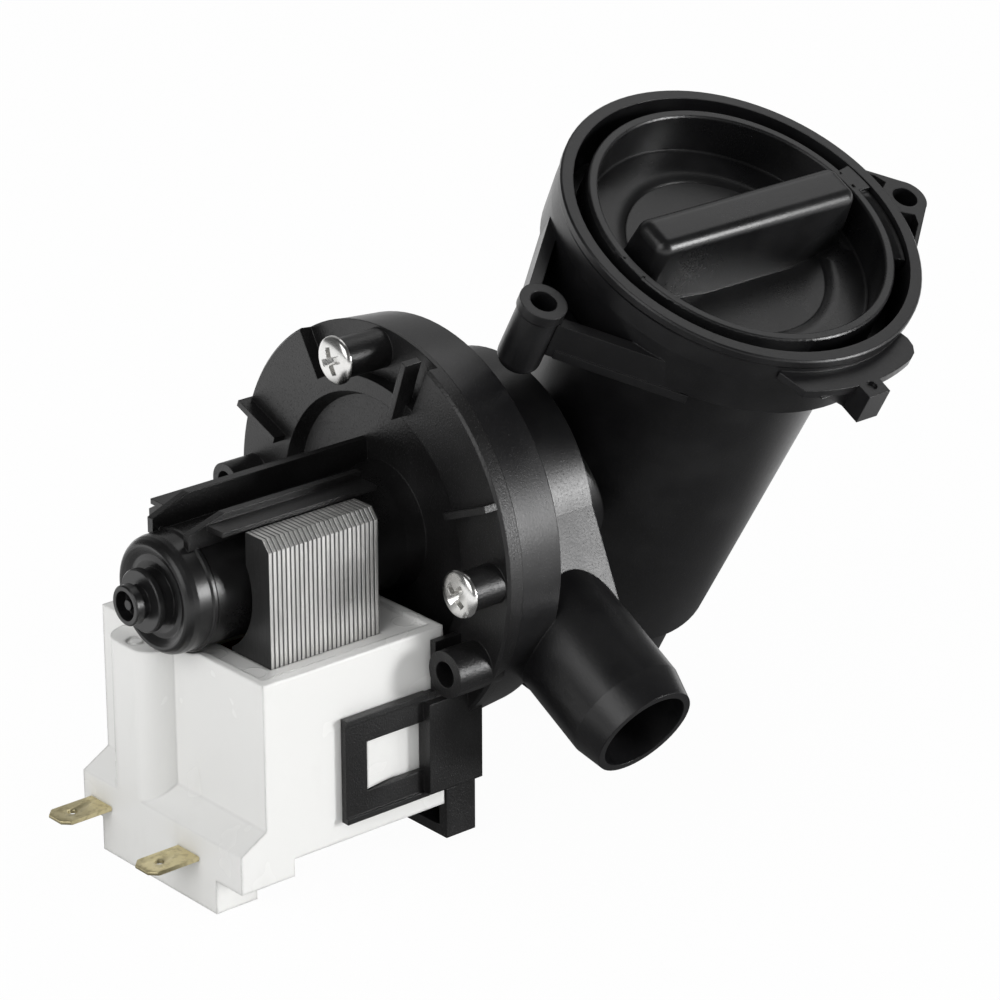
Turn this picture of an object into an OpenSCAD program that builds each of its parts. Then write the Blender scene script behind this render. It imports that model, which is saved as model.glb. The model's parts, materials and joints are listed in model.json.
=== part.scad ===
// Washer drain pump with a front filter: a synchronous motor clipped and screwed to a moulded housing.
// The housing holds the impeller chamber, the filter tube with its screw cap, and the two hose spigots.
// Origin: midway between the two fixing lugs, in the plane of their faces.
// +X runs along the motor axis from the motor to the filter tube, +Z is up, +Y points away from the outlet.

/* [Layout] */
// Tilt of the filter tube from upright, in the plane across the motor axis
tilt = 29.3; // [20:0.1:38]
// Distance from the motor flange face to the filter tube axis
tube_x = 64; // [62:0.5:68]
// Radius of a general moulded edge
edge = 0.6; // [0.4:0.1:0.8]
// Gap between pieces that only just clear each other
gap = 0.3; // [0.2:0.05:0.4]
// Radial running clearance on the shaft and in the bore of the cap
running = 0.05; // [0.03:0.01:0.08]

/* [Filter tube and collar] */
// Wall thickness of the housing moulding
wall = 2.5; // [2:0.1:3]
// Outer radius of the filter tube under its collar
tube_r = 27.4; // [27:0.1:29]
// Outer radius of the filter tube at its floor
tube_foot_r = 25.6; // [25:0.1:26.5]
// Depth of the tube's floor below the motor axis
tube_floor = 28.8; // [27:0.2:31]
// Height of the collar rim above the motor axis
rim_h = 59; // [57:0.5:62]
// Height of the collar, from its shoulder to its rim
collar_h = 14.2; // [13:0.2:17]
// Outer radius of the collar rim
collar_r = 34.9; // [34.7:0.1:37]
// Inner radius of the collar
collar_bore_r = 32.5; // [32.3:0.1:32.9]

/* [Fixing lugs] */
// Distance between the centres of the two fixing holes
lug_pcd = 90; // [86:0.5:94]
// Height of the lug faces above the motor axis
lug_h = 52.5; // [50:0.5:54]
// Radius of the fixing holes
lug_hole_r = 2.5; // [2:0.1:2.8]
// Radius of the lug bosses
lug_r = 4.45; // [4:0.05:5]
// Length of the lug bosses
lug_len = 15.5; // [14:0.5:19]
// Thickness of the lug arms
arm_t = 2.2; // [1.6:0.1:2.8]
// Height of the lug arms
arm_h = 8.5; // [7:0.5:10]

/* [Volute] */
// Radius of the volute body
volute_r = 26.9; // [26:0.1:28]
// Distance from the motor flange face to the flat front of the volute
volute_front = 30; // [30:0.5:32]
// Depth of the volute's flange rim
volute_rim_w = 9.6; // [8:0.2:11]
// Radius of the neck between the volute and the filter tube
neck_r = 16; // [15:0.5:20]
// Radius of the impeller eye
eye_r = 12; // [10:0.5:14]

/* [Spigots] */
// Outer radius of the outlet spigot
outlet_r = 11.35; // [10:0.05:12]
// Wall of the outlet spigot at its mouth
outlet_wall = 1.35; // [1:0.05:2]
// Distance from the motor axis to the mouth of the outlet spigot
outlet_reach = 59; // [56:0.5:64]
// Length of the tapered lead-in at the mouth of the outlet
outlet_lead = 5.7; // [4:0.1:7]
// Distance from the motor flange face to the axis of the outlet
outlet_x = 20.5; // [20:0.5:22]
// Outer radius of the inlet spigot
inlet_r = 16; // [14:0.5:17]
// Length of the inlet spigot below the tube floor
inlet_len = 21.4; // [18:0.2:26]
// Offset of the inlet spigot from the tube axis, to the outlet side
inlet_off = 8.5; // [7:0.5:9]

/* [Filter cap] */
// Outer radius of the cap ring
cap_r = 29.6; // [29.2:0.1:29.9]
// Wall of the cap ring
cap_wall = 1.9; // [1.5:0.1:2.2]
// Depth of the cap's dish below its rim
cap_dish = 8.4; // [7:0.2:9]
// Height of the grip bar above the cap's rim
grip_rise = 4.3; // [3:0.1:7]
// Length of the grip bar
grip_len = 48.6; // [42:0.2:52]
// Width of the grip bar at the middle of its foot
grip_w = 12.8; // [11:0.2:14]
// Width of the grip bar at its ends and along its top
grip_end_w = 9.6; // [8:0.2:10.5]
// Lead of the cap thread for one full turn
thread_lead = 10; // [8:0.5:11]
// Angle covered by each thread start
thread_span = 60; // [50:2:66]

/* [Lint filter] */
// Outer radius of the filter cage at its top
cage_r = 21.6; // [21:0.1:22]
// Number of upright bars in the filter cage
cage_bars = 12; // [8:1:14]
// Width of one filter bar
cage_bar_w = 2.4; // [2:0.1:3]

/* [Motor flange] */
// Radius of the motor flange
flange_r = 38.4; // [38:0.1:40]
// Thickness of the motor flange rim
flange_t = 3.56; // [3.2:0.05:4.2]
// Radius of the dished middle of the motor flange
dish_r = 25.4; // [24:0.2:26]
// Pitch circle radius of the flange screws and bosses
boss_pitch_r = 34; // [33.8:0.1:34.3]
// Radius of the flange screw bosses
boss_r = 3.7; // [3.5:0.05:3.8]
// Height of the screw bosses behind the flange face
boss_h = 7; // [6:0.1:8]
// Height of the empty bosses behind the flange face
empty_boss_h = 7.3; // [6:0.1:8]

/* [Rotor can] */
// Outer radius of the rotor can at its closed end
can_r = 10.9; // [10.8:0.05:11.1]
// Outer radius of the rotor can at the flange
can_foot_r = 11.3; // [11.2:0.05:11.5]
// Inner radius of the rotor can
can_bore_r = 9.5; // [9.3:0.05:9.6]
// Length of the rotor can behind the flange face
can_len = 49; // [48:0.1:50]
// Length of the stepped nose behind the rotor can
nose_len = 5.8; // [5:0.1:7]
// Height of the near rail on the can above the motor axis
near_rail_top = 14.6; // [14:0.1:15.5]
// Height of the far rail on the can above the motor axis
far_rail_top = 15.3; // [14:0.1:16]

/* [Rotor and impeller] */
// Radius of the rotor shaft
shaft_r = 2; // [1.6:0.05:2.2]
// Outer radius of the rotor magnet
magnet_r = 8.7; // [8.3:0.05:8.9]
// Length of the rotor magnet
magnet_len = 27.8; // [25:0.2:28]
// Outer radius of the impeller
impeller_r = 21; // [19:0.5:22.5]
// Number of impeller blades
blades = 6; // [4:1:8]
// Width of the impeller blades along the shaft
blade_w = 10; // [8:0.2:10.5]
// Outer radius of the impeller hub
hub_r = 9.5; // [9:0.1:10.5]
// Angle covered by the driving finger and by the driven finger
finger_deg = 50; // [40:2:60]

/* [Laminated core] */
// Number of laminations
sheets = 25; // [20:1:28]
// Pitch of the laminations
sheet_pitch = 0.975; // [0.9:0.005:1]
// Half the width of the core over its legs
core_half_w = 17.4; // [17:0.1:18]
// Width of one core leg
leg_w = 8.9; // [8.4:0.1:9.2]
// Height of the pole faces above the motor axis
pole_top = 12.3; // [12:0.1:12.6]
// Radius of the bore between the poles
pole_bore_r = 12.5; // [12.2:0.1:12.8]
// Distance from the flange face to the front of the core
core_front = 12.2; // [12:0.1:12.6]

/* [Coil case and coils] */
// Half the width of the coil case
case_half_w = 23.6; // [23.2:0.1:24]
// Wall thickness of the coil case
case_wall = 1.2; // [1:0.1:1.4]
// Distance from the flange face to the front of the case
case_front = 2.83; // [2.8:0.05:3.1]
// Distance from the flange face to the rear of the case
case_rear = 43.14; // [43:0.1:45]
// Distance from the motor axis down to the top of the case
case_top = 10.65; // [10.4:0.05:11]
// Distance from the motor axis down to the underside of the case
case_bottom = 45.8; // [45.6:0.1:47]
// How far the terminal block stands behind the case
block_out = 5.62; // [5:0.1:7]
// Distance from the motor axis down to the underside of the feet
foot_level = 55.7; // [54.5:0.1:57]
// Thickness of the coil winding round a leg
winding_t = 3.5; // [3:0.1:3.6]
// Wall of the bobbins
bobbin_t = 0.8; // [0.6:0.05:0.9]

/* [Spade terminals] */
// Width of a spade terminal
spade_w = 6.3; // [4.8:0.1:6.3]
// Thickness of a spade terminal
spade_t = 0.8; // [0.5:0.1:0.8]
// Length of a spade terminal outside the block
spade_len = 10.3; // [8:0.1:12]
// Place of the near terminal across the case
spade_near_y = -8.06; // [-9:0.1:-7]
// Place of the far terminal across the case
spade_far_y = 18.27; // [17:0.1:19]

/* [Screws] */
// Radius of the screw heads
head_r = 4.45; // [4:0.05:4.6]
// Height of the screw heads
head_h = 1.8; // [1.5:0.1:2.4]
// Radius of the screw shanks
shank_r = 2; // [1.7:0.05:2.1]
// Length of the screw shanks
shank_len = 16; // [14:0.5:16]

/* [Hidden] */
$fn = 96;
eps = 0.01;
far = 200;
black = "#1d1d1f";
steel = "#a9abad";

// Places along the filter tube, as heights above the motor axis
shoulder_n = rim_h - collar_h;
collar_floor_n = shoulder_n + wall;
tube_bore_r = tube_r - wall;
floor_n = -tube_floor + wall;
cap_top_n = rim_h - 0.1;
dish_n = cap_top_n - cap_dish;
cap_foot_n = collar_floor_n + gap;
plug_len = 9;
plug_r = tube_bore_r - gap;
plug_wall = 3.2;
seal_cord_r = 1.2;
seal_seat_r = tube_bore_r - 2 * running - 2 * seal_cord_r;
seal_n = cap_foot_n - 3.6;
thread_h = 1.8;
thread_reach = collar_bore_r - gap;
cap_thread_n = cap_foot_n + 2.2;
thread_start = 20;
tab_from = -10.6;
tab_lead_to = 0.3;
tab_to = 33.5;
tab_h = 1.6;

// Places along the motor axis, as distances in front of the flange face
plug_front = 8.5;
plate_back = 3;
plate_front = 5.6;
spigot_fit_r = 31;
flange_seal_depth = 1.7;
chamber_r = volute_r - 2.2;
chamber_front = volute_front - wall;
// Half widths at which the flanks of the volute and of its chamber end, inside the wall of the outlet pipe
flank_end = 4;
chamber_end = 6;
rim_front = flange_t + volute_rim_w;
boss_front = 12;
can_end = can_len - 1.6;
core_len = sheets * sheet_pitch;
core_rear = core_front + core_len;
magnet_mid = -(core_front + core_len / 2);
magnet_rear = magnet_mid - magnet_len / 2;
magnet_head = magnet_mid + magnet_len / 2;
end_ring_t = 0.8;
washer_t = 0.6;
carrier_rear = magnet_rear - end_ring_t;
carrier_head = magnet_head + end_ring_t;
bearing_r = 4.2;
bearing_bore_r = shaft_r + running;
rear_bearing_head = carrier_rear - washer_t - gap;
rear_bearing_len = 4.6;
front_bearing_rear = carrier_head + washer_t + gap;
front_bearing_len = 6.5;
mount_inset = 0.5;
cover_rear = front_bearing_rear + front_bearing_len - mount_inset;
cover_flange_r = 13.2;
cover_flange_t = 1.8;
seal_pocket_r = 5;
seal_rear = plate_front + 1.4;
seal_len = 4.2;
shaft_rear = -(can_len - 0.8);
hub_rear = 13.4;
hub_cover_t = 1.5;
hub_front = 24.6;
hub_wall = 2.4;
dog_inner_r = 3.6;
dog_outer_r = 6.6;
finger_inner_r = dog_inner_r + gap;
blade_rear = 14.9;
blade_t = 2;

// Places on the motor flange, as angles from +Y towards +Z
screw_angles = [90, 180];
empty_boss_angles = [0.7];
big_boss_angle = 210;
big_boss_r = 4.4;
big_boss_bore_r = 2.45;
rib_spots = [[22, 27, 38.6], [110, 26, 38], [157, 25.8, 38], [212, 28, 36]];
rib_t = 1.3;
rib_h = 2.6;
fin_y = 6;
fin_t = 1.5;
ledge_reach = 10.5;
ledge_t = 1;

// Places on the laminated core and the coil case
pole_shoulder = core_half_w - 1.7;
pole_shoulder_h = 2;
pole_gap_half = 10.9;
pole_foot = case_top + 1.9;
pole_slit_half = 6.2;
leg_inner = core_half_w - leg_w;
yoke_foot = 43.5;
core_foot = yoke_foot - leg_w;
coil_top = pole_foot + 2;
coil_clear = 0.25;
block_top = 41.8;
block_chamfer_top = 38.6;
block_bottom = 49.15;
block_front = 37.07;
hose_seat_from = flange_r + 0.4;
column_from = 2.4;
column_to = 16.6;
column_round = 4.3;
column_top = case_top + 1.6;
spade_z = -46.63;
arm_gap = 0.3;
arm_y = case_half_w + arm_gap;
foot_half_w = case_half_w;
bracket_foot = 53;
pole_cut_y = 10.4;
pole_cut_z = 8.1;

// Puts children in the filter tube's frame: its axis is Z, the motor axis crosses it at height 0
module tube_frame() {
    rotate([tilt, 0, 0])
        translate([0, 0, -lug_h])
            children();
}

// Puts children in the motor's frame: the motor axis is X, the flange face is at X = 0
module motor_frame() {
    translate([-tube_x, lug_h * sin(tilt), -lug_h * cos(tilt)])
        children();
}

// Stands children on the motor axis: their X, Y and Z become the motor's Y, Z and X
module on_motor_axis() {
    motor_frame()
        rotate([90, 0, 90])
            children();
}

// Stands children on the motor axis in the tilted frame: X, Y, Z become across, along the tube, and X
module on_tilted_motor_axis() {
    tube_frame()
        translate([-tube_x, 0, 0])
            rotate([90, 0, 90])
                children();
}

// A turned body from a list of [radius, height] points
module turned(points) {
    rotate_extrude()
        polygon(points);
}

// A ring between two radii and two heights
module ring(inner, outer, from, to) {
    translate([0, 0, from])
        difference() {
            cylinder(r = outer, h = to - from);
            translate([0, 0, -eps])
                cylinder(r = inner, h = to - from + 2 * eps);
        }
}

// A ring sector between two angles
module sector(inner, outer, from, to, start, end) {
    rotate([0, 0, start])
        rotate_extrude(angle = end - start)
            translate([inner, from])
                square([outer - inner, to - from]);
}

// Points of an arc with two half-axes, for rounded profiles
function oval(cx, cy, rx, ry, from, to, steps) =
    [for (i = [0:steps]) let (a = from + (to - from) * i / steps) [cx + rx * cos(a), cy + ry * sin(a)]];

// Points of a circular arc
function arc(cx, cy, r, from, to, steps = 5) = oval(cx, cy, r, r, from, to, steps);

// A thread start: a ring sector that leans so that it rises anticlockwise round the Z axis
module thread_ridge(inner, outer, base, start, span) {
    lean = atan(thread_lead / (PI * (inner + outer)));
    rotate([0, 0, start + span / 2])
        translate([0, 0, base + thread_lead * span / 720])
            rotate([lean, 0, 0])
                sector(inner, outer, 0, thread_h, -span / 2, span / 2);
}

// An upright wall of a given thickness from one point to another, to the left of the line
module straight_wall(from, to, t, h) {
    along = (to - from) / norm(to - from);
    side = [-along[1], along[0]] * t;
    linear_extrude(h)
        polygon([from, to, to + side, from + side]);
}

// The collar, tube and floor of the filter housing, turned about the tube axis
module tube_outside() {
    turned([[0, -tube_floor], [tube_foot_r - edge, -tube_floor], [tube_foot_r, -tube_floor + edge],
        [tube_r, shoulder_n + eps], [collar_r - 0.9, shoulder_n], [collar_r - 0.35, rim_h - 6],
        [collar_r - 0.35, rim_h - 2.2], [collar_r, rim_h - 1.6], [collar_r, rim_h - 0.3],
        [collar_r - 0.3, rim_h], [0, rim_h]]);
}

// The bores of the collar and the tube
module tube_inside() {
    turned([[0, floor_n], [tube_foot_r - wall, floor_n], [tube_bore_r, shoulder_n - plug_len],
        [tube_bore_r, collar_floor_n], [collar_bore_r - 0.2, collar_floor_n],
        [collar_bore_r, rim_h - 3], [collar_bore_r, rim_h + 1], [0, rim_h + 1]]);
}

// Flat outline of the volute: a round chamber whose flanks run straight to the outlet
module volute_outline(r, mouth_half) {
    flank = 38;
    apex = r / sin(flank);
    mouth = apex - mouth_half / tan(flank);
    tip = mouth + 2;
    root = 0.97 * r * [-cos(56), sin(56)];
    circle(r = r);
    polygon([root, [-mouth, mouth_half], [-tip, mouth_half],
        [-tip, -mouth_half], [-mouth, -mouth_half], [root[0], -root[1]]]);
}

// Puts children on the outlet's axis, with Z running out through the mouth
module outlet_axis() {
    tube_frame()
        translate([outlet_x - tube_x, 0, 0])
            rotate([90, 0, 0])
                children();
}

// Puts children on the inlet's axis, at the tube floor, with Z running up into the tube
module inlet_axis() {
    tube_frame()
        translate([-1.5, -inlet_off, -tube_floor])
            children();
}

// The near lug stands on a boss with a rounded foot, and two arms with a web between them hold it
module left_lug() {
    reach = collar_r - 0.9;
    lean = asin((reach - lug_r) / (lug_pcd / 2));
    out = [-sin(lean), cos(lean)];
    boss = [-lug_pcd / 2, 0];
    near_foot = lug_h - 10;
    translate(boss)
        turned(concat([[0, lug_h - lug_len]], arc(lug_r - 2.4, lug_h - lug_len + 2, 2, -90, 0),
            [[lug_r - 0.4, lug_h - 2.4], [lug_r, lug_h - 2], [lug_r, lug_h], [0, lug_h]]));
    // The far arm runs tangent to the boss and the collar
    translate([0, 0, lug_h - 1 - arm_h])
        straight_wall(boss + (lug_r - 1.2) * out, (reach - 0.9) * out, -arm_t, arm_h);
    // The near arm is lower and has a lip along its foot
    translate([0, 0, near_foot]) {
        straight_wall(boss + [1.4, -4], reach * [-0.76, -0.63], arm_t, arm_h - 1);
        straight_wall(boss + [2.2, -5.2], reach * [-0.73, -0.67], 3.2, 1.8);
    }
    translate([0, 0, near_foot])
        linear_extrude(1.8)
            polygon([boss + (lug_r - 2) * out, (reach - 2) * out, reach * [-0.74, -0.61], boss + [1.4, -3]]);
}

// The far lug is a webbed plate with two lightening holes beside its boss
module right_lug() {
    lean = asin((collar_r - 0.9 - lug_r) / (lug_pcd / 2));
    tangent = (collar_r - 1.2) * [sin(lean), cos(lean)];
    boss = [lug_pcd / 2, 0];
    touch = boss + (lug_r - 0.05) * [sin(lean), cos(lean)];
    inner = collar_r + 0.8;
    translate([boss[0], 0, lug_h - lug_len + 2.5])
        cylinder(r = lug_r, h = lug_len - 2.5);
    difference() {
        translate([0, 0, lug_h - arm_h])
            linear_extrude(arm_h)
                polygon([tangent, touch, [touch[0], -touch[1]], [tangent[0], -tangent[1]]]);
        for (side = [-1, 1])
            translate([0, 0, lug_h - arm_h - 1])
                linear_extrude(arm_h + 2)
                    polygon([[inner - 5.4, side * 17.2], [boss[0] - 2.3, side * 6.8],
                        [boss[0] - 1.2, side * 4.5], [boss[0] - 4.6, side * 2.4], [inner - 0.4, side * 4.8]]);
    }
}

// A thin catch tab on the near side of the collar, with a round end, and a hook block below it
module collar_tab() {
    tab_n = rim_h - 4.7;
    tab_t = 1.7;
    reach = collar_r + 4.3;
    from = -110;
    to = -71;
    end = collar_r * [cos(to), sin(to)];
    translate([0, 0, tab_n])
        linear_extrude(tab_t)
            polygon(concat(arc(0, 0, reach, from, to, 14), arc(end[0], end[1], reach - collar_r, to + 25, to + 150),
                arc(0, 0, collar_r - 2, to + 2, from, 4), [collar_r * [cos(from - 6), sin(from - 6)]]));
    translate([-2.1, -reach - 3, rim_h - 9.5])
        cube([5.1, 4.4, 6.5]);
    rotate([90, 0, 90])
        translate([0, 0, -10])
            linear_extrude(8)
                polygon([[-reach + 0.6, tab_n + 0.2], [-reach + 2, tab_n - 0.2], [-collar_r + 1.2, tab_n - 2.6],
                    [-collar_r + 1.2, tab_n + 0.5]]);
    // A gusset runs from the hook block to the foot of the tab
    translate([0, -reach + 2, 0])
        rotate([90, 0, 0])
            linear_extrude(1.2)
                polygon([[-2, rim_h - 9.4], [-2, tab_n + 0.2], [-8.7, tab_n + 0.2]]);
}

module filter_housing() {
    color(black)
        difference() {
            union() {
                tube_frame() {
                    tube_outside();
                    left_lug();
                    right_lug();
                    collar_tab();
                }
                on_tilted_motor_axis() {
                    translate([0, 0, rim_front - eps])
                        linear_extrude(volute_front - rim_front + eps)
                            volute_outline(volute_r, flank_end);
                    translate([0, 0, flange_t])
                        cylinder(r1 = flange_r - 0.4, r2 = flange_r - 1.25, h = volute_rim_w);
                    translate([0, 0, rim_front])
                        cylinder(r = neck_r, h = tube_x - rim_front);
                }
                outlet_axis() {
                    // The hose seat is straight; the pipe behind it has a slight draft
                    translate([0, 0, volute_r - 6])
                        cylinder(r1 = outlet_r - 0.3, r2 = outlet_r, h = hose_seat_from - volute_r + 6);
                    translate([0, 0, hose_seat_from])
                        cylinder(r = outlet_r, h = outlet_reach - outlet_lead - hose_seat_from);
                    translate([0, 0, outlet_reach - outlet_lead])
                        cylinder(r1 = outlet_r, r2 = outlet_r - 1.35, h = outlet_lead);
                }
                inlet_axis()
                    translate([0, 0, -inlet_len])
                        turned([[0, 0], [inlet_r - edge, 0], [inlet_r, edge], [inlet_r, inlet_len + 1],
                            [0, inlet_len + 1]]);
            }
            tube_frame() {
                tube_inside();
                for (side = [-1, 1])
                    translate([side * lug_pcd / 2, 0, lug_h - lug_len - 1]) {
                        cylinder(r = lug_hole_r - 0.7, h = lug_len + 2);
                        translate([0, 0, lug_len - 6])
                            cylinder(r = lug_hole_r, h = 8);
                    }
                // Round recess on the hook block
                translate([0.4, -collar_r - 5, rim_h - 3.6])
                    cylinder(r = 1, h = 2);
            }
            on_tilted_motor_axis() {
                translate([0, 0, plug_front])
                    linear_extrude(chamber_front - plug_front)
                        volute_outline(chamber_r, chamber_end);
                translate([0, 0, -far / 2])
                    cylinder(r = spigot_fit_r + 0.1, h = far / 2 + plug_front);
                cylinder(r = eye_r, h = tube_x);
                translate([0, 0, volute_front])
                    cylinder(r = neck_r - wall, h = tube_x - volute_front);
                translate([0, 0, -1])
                    cylinder(r = flange_r + 5, h = flange_t + 1);
            }
            on_motor_axis()
                for (angle = concat(screw_angles, empty_boss_angles))
                    rotate([0, 0, angle])
                        translate([boss_pitch_r, 0, flange_t - 1])
                            cylinder(r = shank_r, h = volute_rim_w - 1);
            outlet_axis()
                translate([0, 0, volute_r - 2])
                    cylinder(r = outlet_r - 1.35 - outlet_wall, h = outlet_reach);
            inlet_axis()
                translate([0, 0, -inlet_len - 1])
                    cylinder(r = inlet_r - 2.2, h = inlet_len + wall + 2);
        }
    // The thread starts stand inside the collar, above those of the cap
    color(black)
        tube_frame()
            for (turn = [0, 180])
                thread_ridge(cap_r + gap, collar_bore_r + 0.8, cap_thread_n + thread_h + gap,
                    thread_start + turn, thread_span);
}

module filter_cap() {
    inner = cap_r - cap_wall;
    color(black)
        tube_frame() {
            difference() {
                union() {
                    turned([[0, dish_n - 2.2], [plug_r - plug_wall, dish_n - 2.2],
                        [plug_r - plug_wall, cap_foot_n - plug_len], [plug_r - edge, cap_foot_n - plug_len],
                        [plug_r, cap_foot_n - plug_len + edge], [plug_r, cap_foot_n], [cap_r, cap_foot_n],
                        [cap_r, cap_top_n - 0.3], [cap_r - 0.3, cap_top_n], [inner + 0.3, cap_top_n],
                        [inner, cap_top_n - 0.3], [inner - 0.2, dish_n + 0.3], [inner - 0.6, dish_n + 0.05],
                        [19.8, dish_n], [19.3, dish_n - 0.5], [0, dish_n - 0.5]]);
                    grip_bar();
                    for (turn = [0, 180])
                        rotate([0, 0, turn]) {
                            thread_ridge(cap_r - 0.8, thread_reach, cap_thread_n, thread_start, thread_span);
                            sector(cap_r - 1, thread_reach, cap_top_n - tab_h - 0.8, cap_top_n,
                                -tab_lead_to, -tab_from);
                            sector(cap_r - 1, thread_reach - 0.15, cap_top_n - tab_h - 1.6, cap_top_n - 0.8,
                                -tab_to, -tab_lead_to + 1);
                        }
                }
                // Groove of the seal
                ring(seal_seat_r, plug_r + 1, seal_n - seal_cord_r - running, seal_n + seal_cord_r + running);
                // The grip bar is cored out from below
                translate([-grip_len / 2 + 4, -grip_end_w / 2 + 2.2, dish_n - 3])
                    cube([grip_len - 8, grip_end_w - 4.4, cap_dish + grip_rise]);
            }
        }
}

// The grip bar: a boat-shaped foot that narrows to a rounded top
module grip_bar() {
    foot = dish_n - 1;
    top = cap_top_n + grip_rise;
    round_r = 1.3;
    end_x = grip_len / 2;
    side_y = grip_end_w / 2;
    intersection() {
        translate([0, 0, foot])
            linear_extrude(top - foot)
                polygon([[-end_x, -side_y], [-end_x * 0.4, -grip_w / 2], [end_x * 0.4, -grip_w / 2],
                    [end_x, -side_y], [end_x, side_y], [end_x * 0.4, grip_w / 2],
                    [-end_x * 0.4, grip_w / 2], [-end_x, side_y]]);
        // Outline across the bar
        rotate([90, 0, 90])
            translate([0, 0, -end_x - 1])
                linear_extrude(grip_len + 2)
                    polygon(concat([[-grip_w / 2, foot], [grip_w / 2, foot]],
                        arc(side_y - round_r, top - round_r, round_r, 20, 90),
                        arc(-side_y + round_r, top - round_r, round_r, 90, 160)));
        // Outline along the bar
        rotate([90, 0, 0])
            translate([0, 0, -grip_w])
                linear_extrude(2 * grip_w)
                    polygon(concat([[-end_x, foot], [end_x, foot]],
                        arc(end_x - round_r, top - round_r, round_r, 0, 90),
                        arc(-end_x + round_r, top - round_r, round_r, 90, 180)));
    }
}

module cap_seal() {
    color("#2b2b2b")
        tube_frame()
            rotate_extrude()
                translate([tube_bore_r - running - seal_cord_r, seal_n])
                    circle(r = seal_cord_r);
}

module lint_filter() {
    foot_n = floor_n + 1.2;
    head_n = cap_foot_n - plug_len - 0.5;
    ring_r = plug_r - plug_wall;
    color("#232325")
        tube_frame() {
            ring(ring_r - 2, ring_r, head_n, dish_n - 2.2);
            ring(cage_r - 2.2, cage_r, head_n - 4, head_n + eps);
            ring(cage_r - 3, cage_r - 1, foot_n, foot_n + 3);
            for (level = [0.34, 0.67])
                ring(cage_r - 2.5, cage_r - 0.5, foot_n + (head_n - foot_n) * level,
                    foot_n + (head_n - foot_n) * level + 2.2);
            for (i = [0:cage_bars - 1])
                rotate([0, 0, i * 360 / cage_bars])
                    translate([cage_r - 2.5, -cage_bar_w / 2, foot_n + 1])
                        cube([1.6, cage_bar_w, head_n - foot_n - 2]);
        }
}

module impeller() {
    color("#2a2a2c")
        on_motor_axis() {
            difference() {
                translate([0, 0, hub_rear + hub_cover_t])
                    cylinder(r = hub_r, h = hub_front - hub_rear - hub_cover_t);
                translate([0, 0, hub_rear])
                    cylinder(r = hub_r - hub_wall, h = hub_front - hub_rear - 3);
                cylinder(r = bearing_bore_r, h = far);
            }
            // Driven finger inside the hub
            sector(finger_inner_r, hub_r - hub_wall + 0.4, hub_rear + hub_cover_t + 1.2, hub_front - 2.5,
                -finger_deg / 2, finger_deg / 2);
            for (i = [0:blades - 1])
                rotate([0, 0, (i + 0.5) * 360 / blades])
                    translate([hub_r - 0.5, -blade_t / 2, blade_rear])
                        cube([impeller_r - hub_r + 0.5, blade_t, blade_w]);
            ring(hub_r - 0.5, hub_r + 3.5, blade_rear, blade_rear + 1.6);
        }
}

module impeller_hub_cover() {
    color("#303032")
        on_motor_axis() {
            ring(bearing_bore_r, hub_r, hub_rear, hub_rear + hub_cover_t);
            ring(bearing_bore_r + 2, hub_r - hub_wall, hub_rear + hub_cover_t - eps,
                hub_rear + hub_cover_t + 0.9);
        }
}

module drive_dog() {
    back = hub_rear + hub_cover_t + 0.9 + gap;
    front = hub_front - 3 - gap;
    color("#d8d4c8")
        on_motor_axis() {
            ring(shaft_r, dog_inner_r, back, front);
            sector(dog_inner_r - 0.4, dog_outer_r, back, front, 180 - finger_deg / 2, 180 + finger_deg / 2);
        }
}

module rotor_shaft() {
    tip = 0.4;
    color(steel)
        on_motor_axis()
            turned([[0, shaft_rear], [shaft_r - tip, shaft_rear], [shaft_r, shaft_rear + tip],
                [shaft_r, hub_front - tip], [shaft_r - tip, hub_front], [0, hub_front]]);
}

module rotor_carrier() {
    core_r = shaft_r + 2;
    color("#e6e2d6")
        on_motor_axis() {
            ring(shaft_r, core_r, carrier_rear, carrier_head);
            ring(core_r - eps, magnet_r - 1, carrier_rear, magnet_rear);
            ring(core_r - eps, magnet_r - 1, magnet_head, carrier_head);
        }
}

module rotor_magnet() {
    color("#3a3a3d")
        on_motor_axis()
            ring(shaft_r + 2, magnet_r, magnet_rear, magnet_head);
}

module thrust_washers() {
    color("#c9c5ba")
        on_motor_axis() {
            ring(shaft_r, shaft_r + 2, carrier_rear - washer_t, carrier_rear);
            ring(shaft_r, shaft_r + 2, carrier_head, carrier_head + washer_t);
        }
}

module rear_bearing() {
    color("#8b8074")
        on_motor_axis()
            ring(bearing_bore_r, bearing_r, rear_bearing_head - rear_bearing_len, rear_bearing_head);
}

module rear_bearing_mount() {
    color("#262626")
        on_motor_axis()
            ring(bearing_r, can_bore_r, -can_end, rear_bearing_head - mount_inset);
}

module front_bearing() {
    color("#8b8074")
        on_motor_axis()
            ring(bearing_bore_r, bearing_r, front_bearing_rear, front_bearing_rear + front_bearing_len);
}

module front_bearing_mount() {
    color("#262626")
        on_motor_axis()
            ring(bearing_r, can_bore_r, front_bearing_rear + mount_inset, cover_rear);
}

// The cover closes the rotor can, backs the front bearing and holds the shaft seal
module bearing_cover() {
    color("#2f2f31")
        on_motor_axis()
            turned([[bearing_r + gap, cover_rear], [can_bore_r, cover_rear], [can_bore_r, plate_front],
                [cover_flange_r, plate_front], [cover_flange_r, plate_front + cover_flange_t],
                [seal_pocket_r + 2.4, plate_front + cover_flange_t + 1], [seal_pocket_r + 2, boss_front],
                [shaft_r + 0.8, boss_front], [shaft_r + 0.8, seal_rear + seal_len],
                [seal_pocket_r, seal_rear + seal_len], [seal_pocket_r, seal_rear - 1.4],
                [bearing_r + gap, seal_rear - 2.4]]);
}

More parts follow.
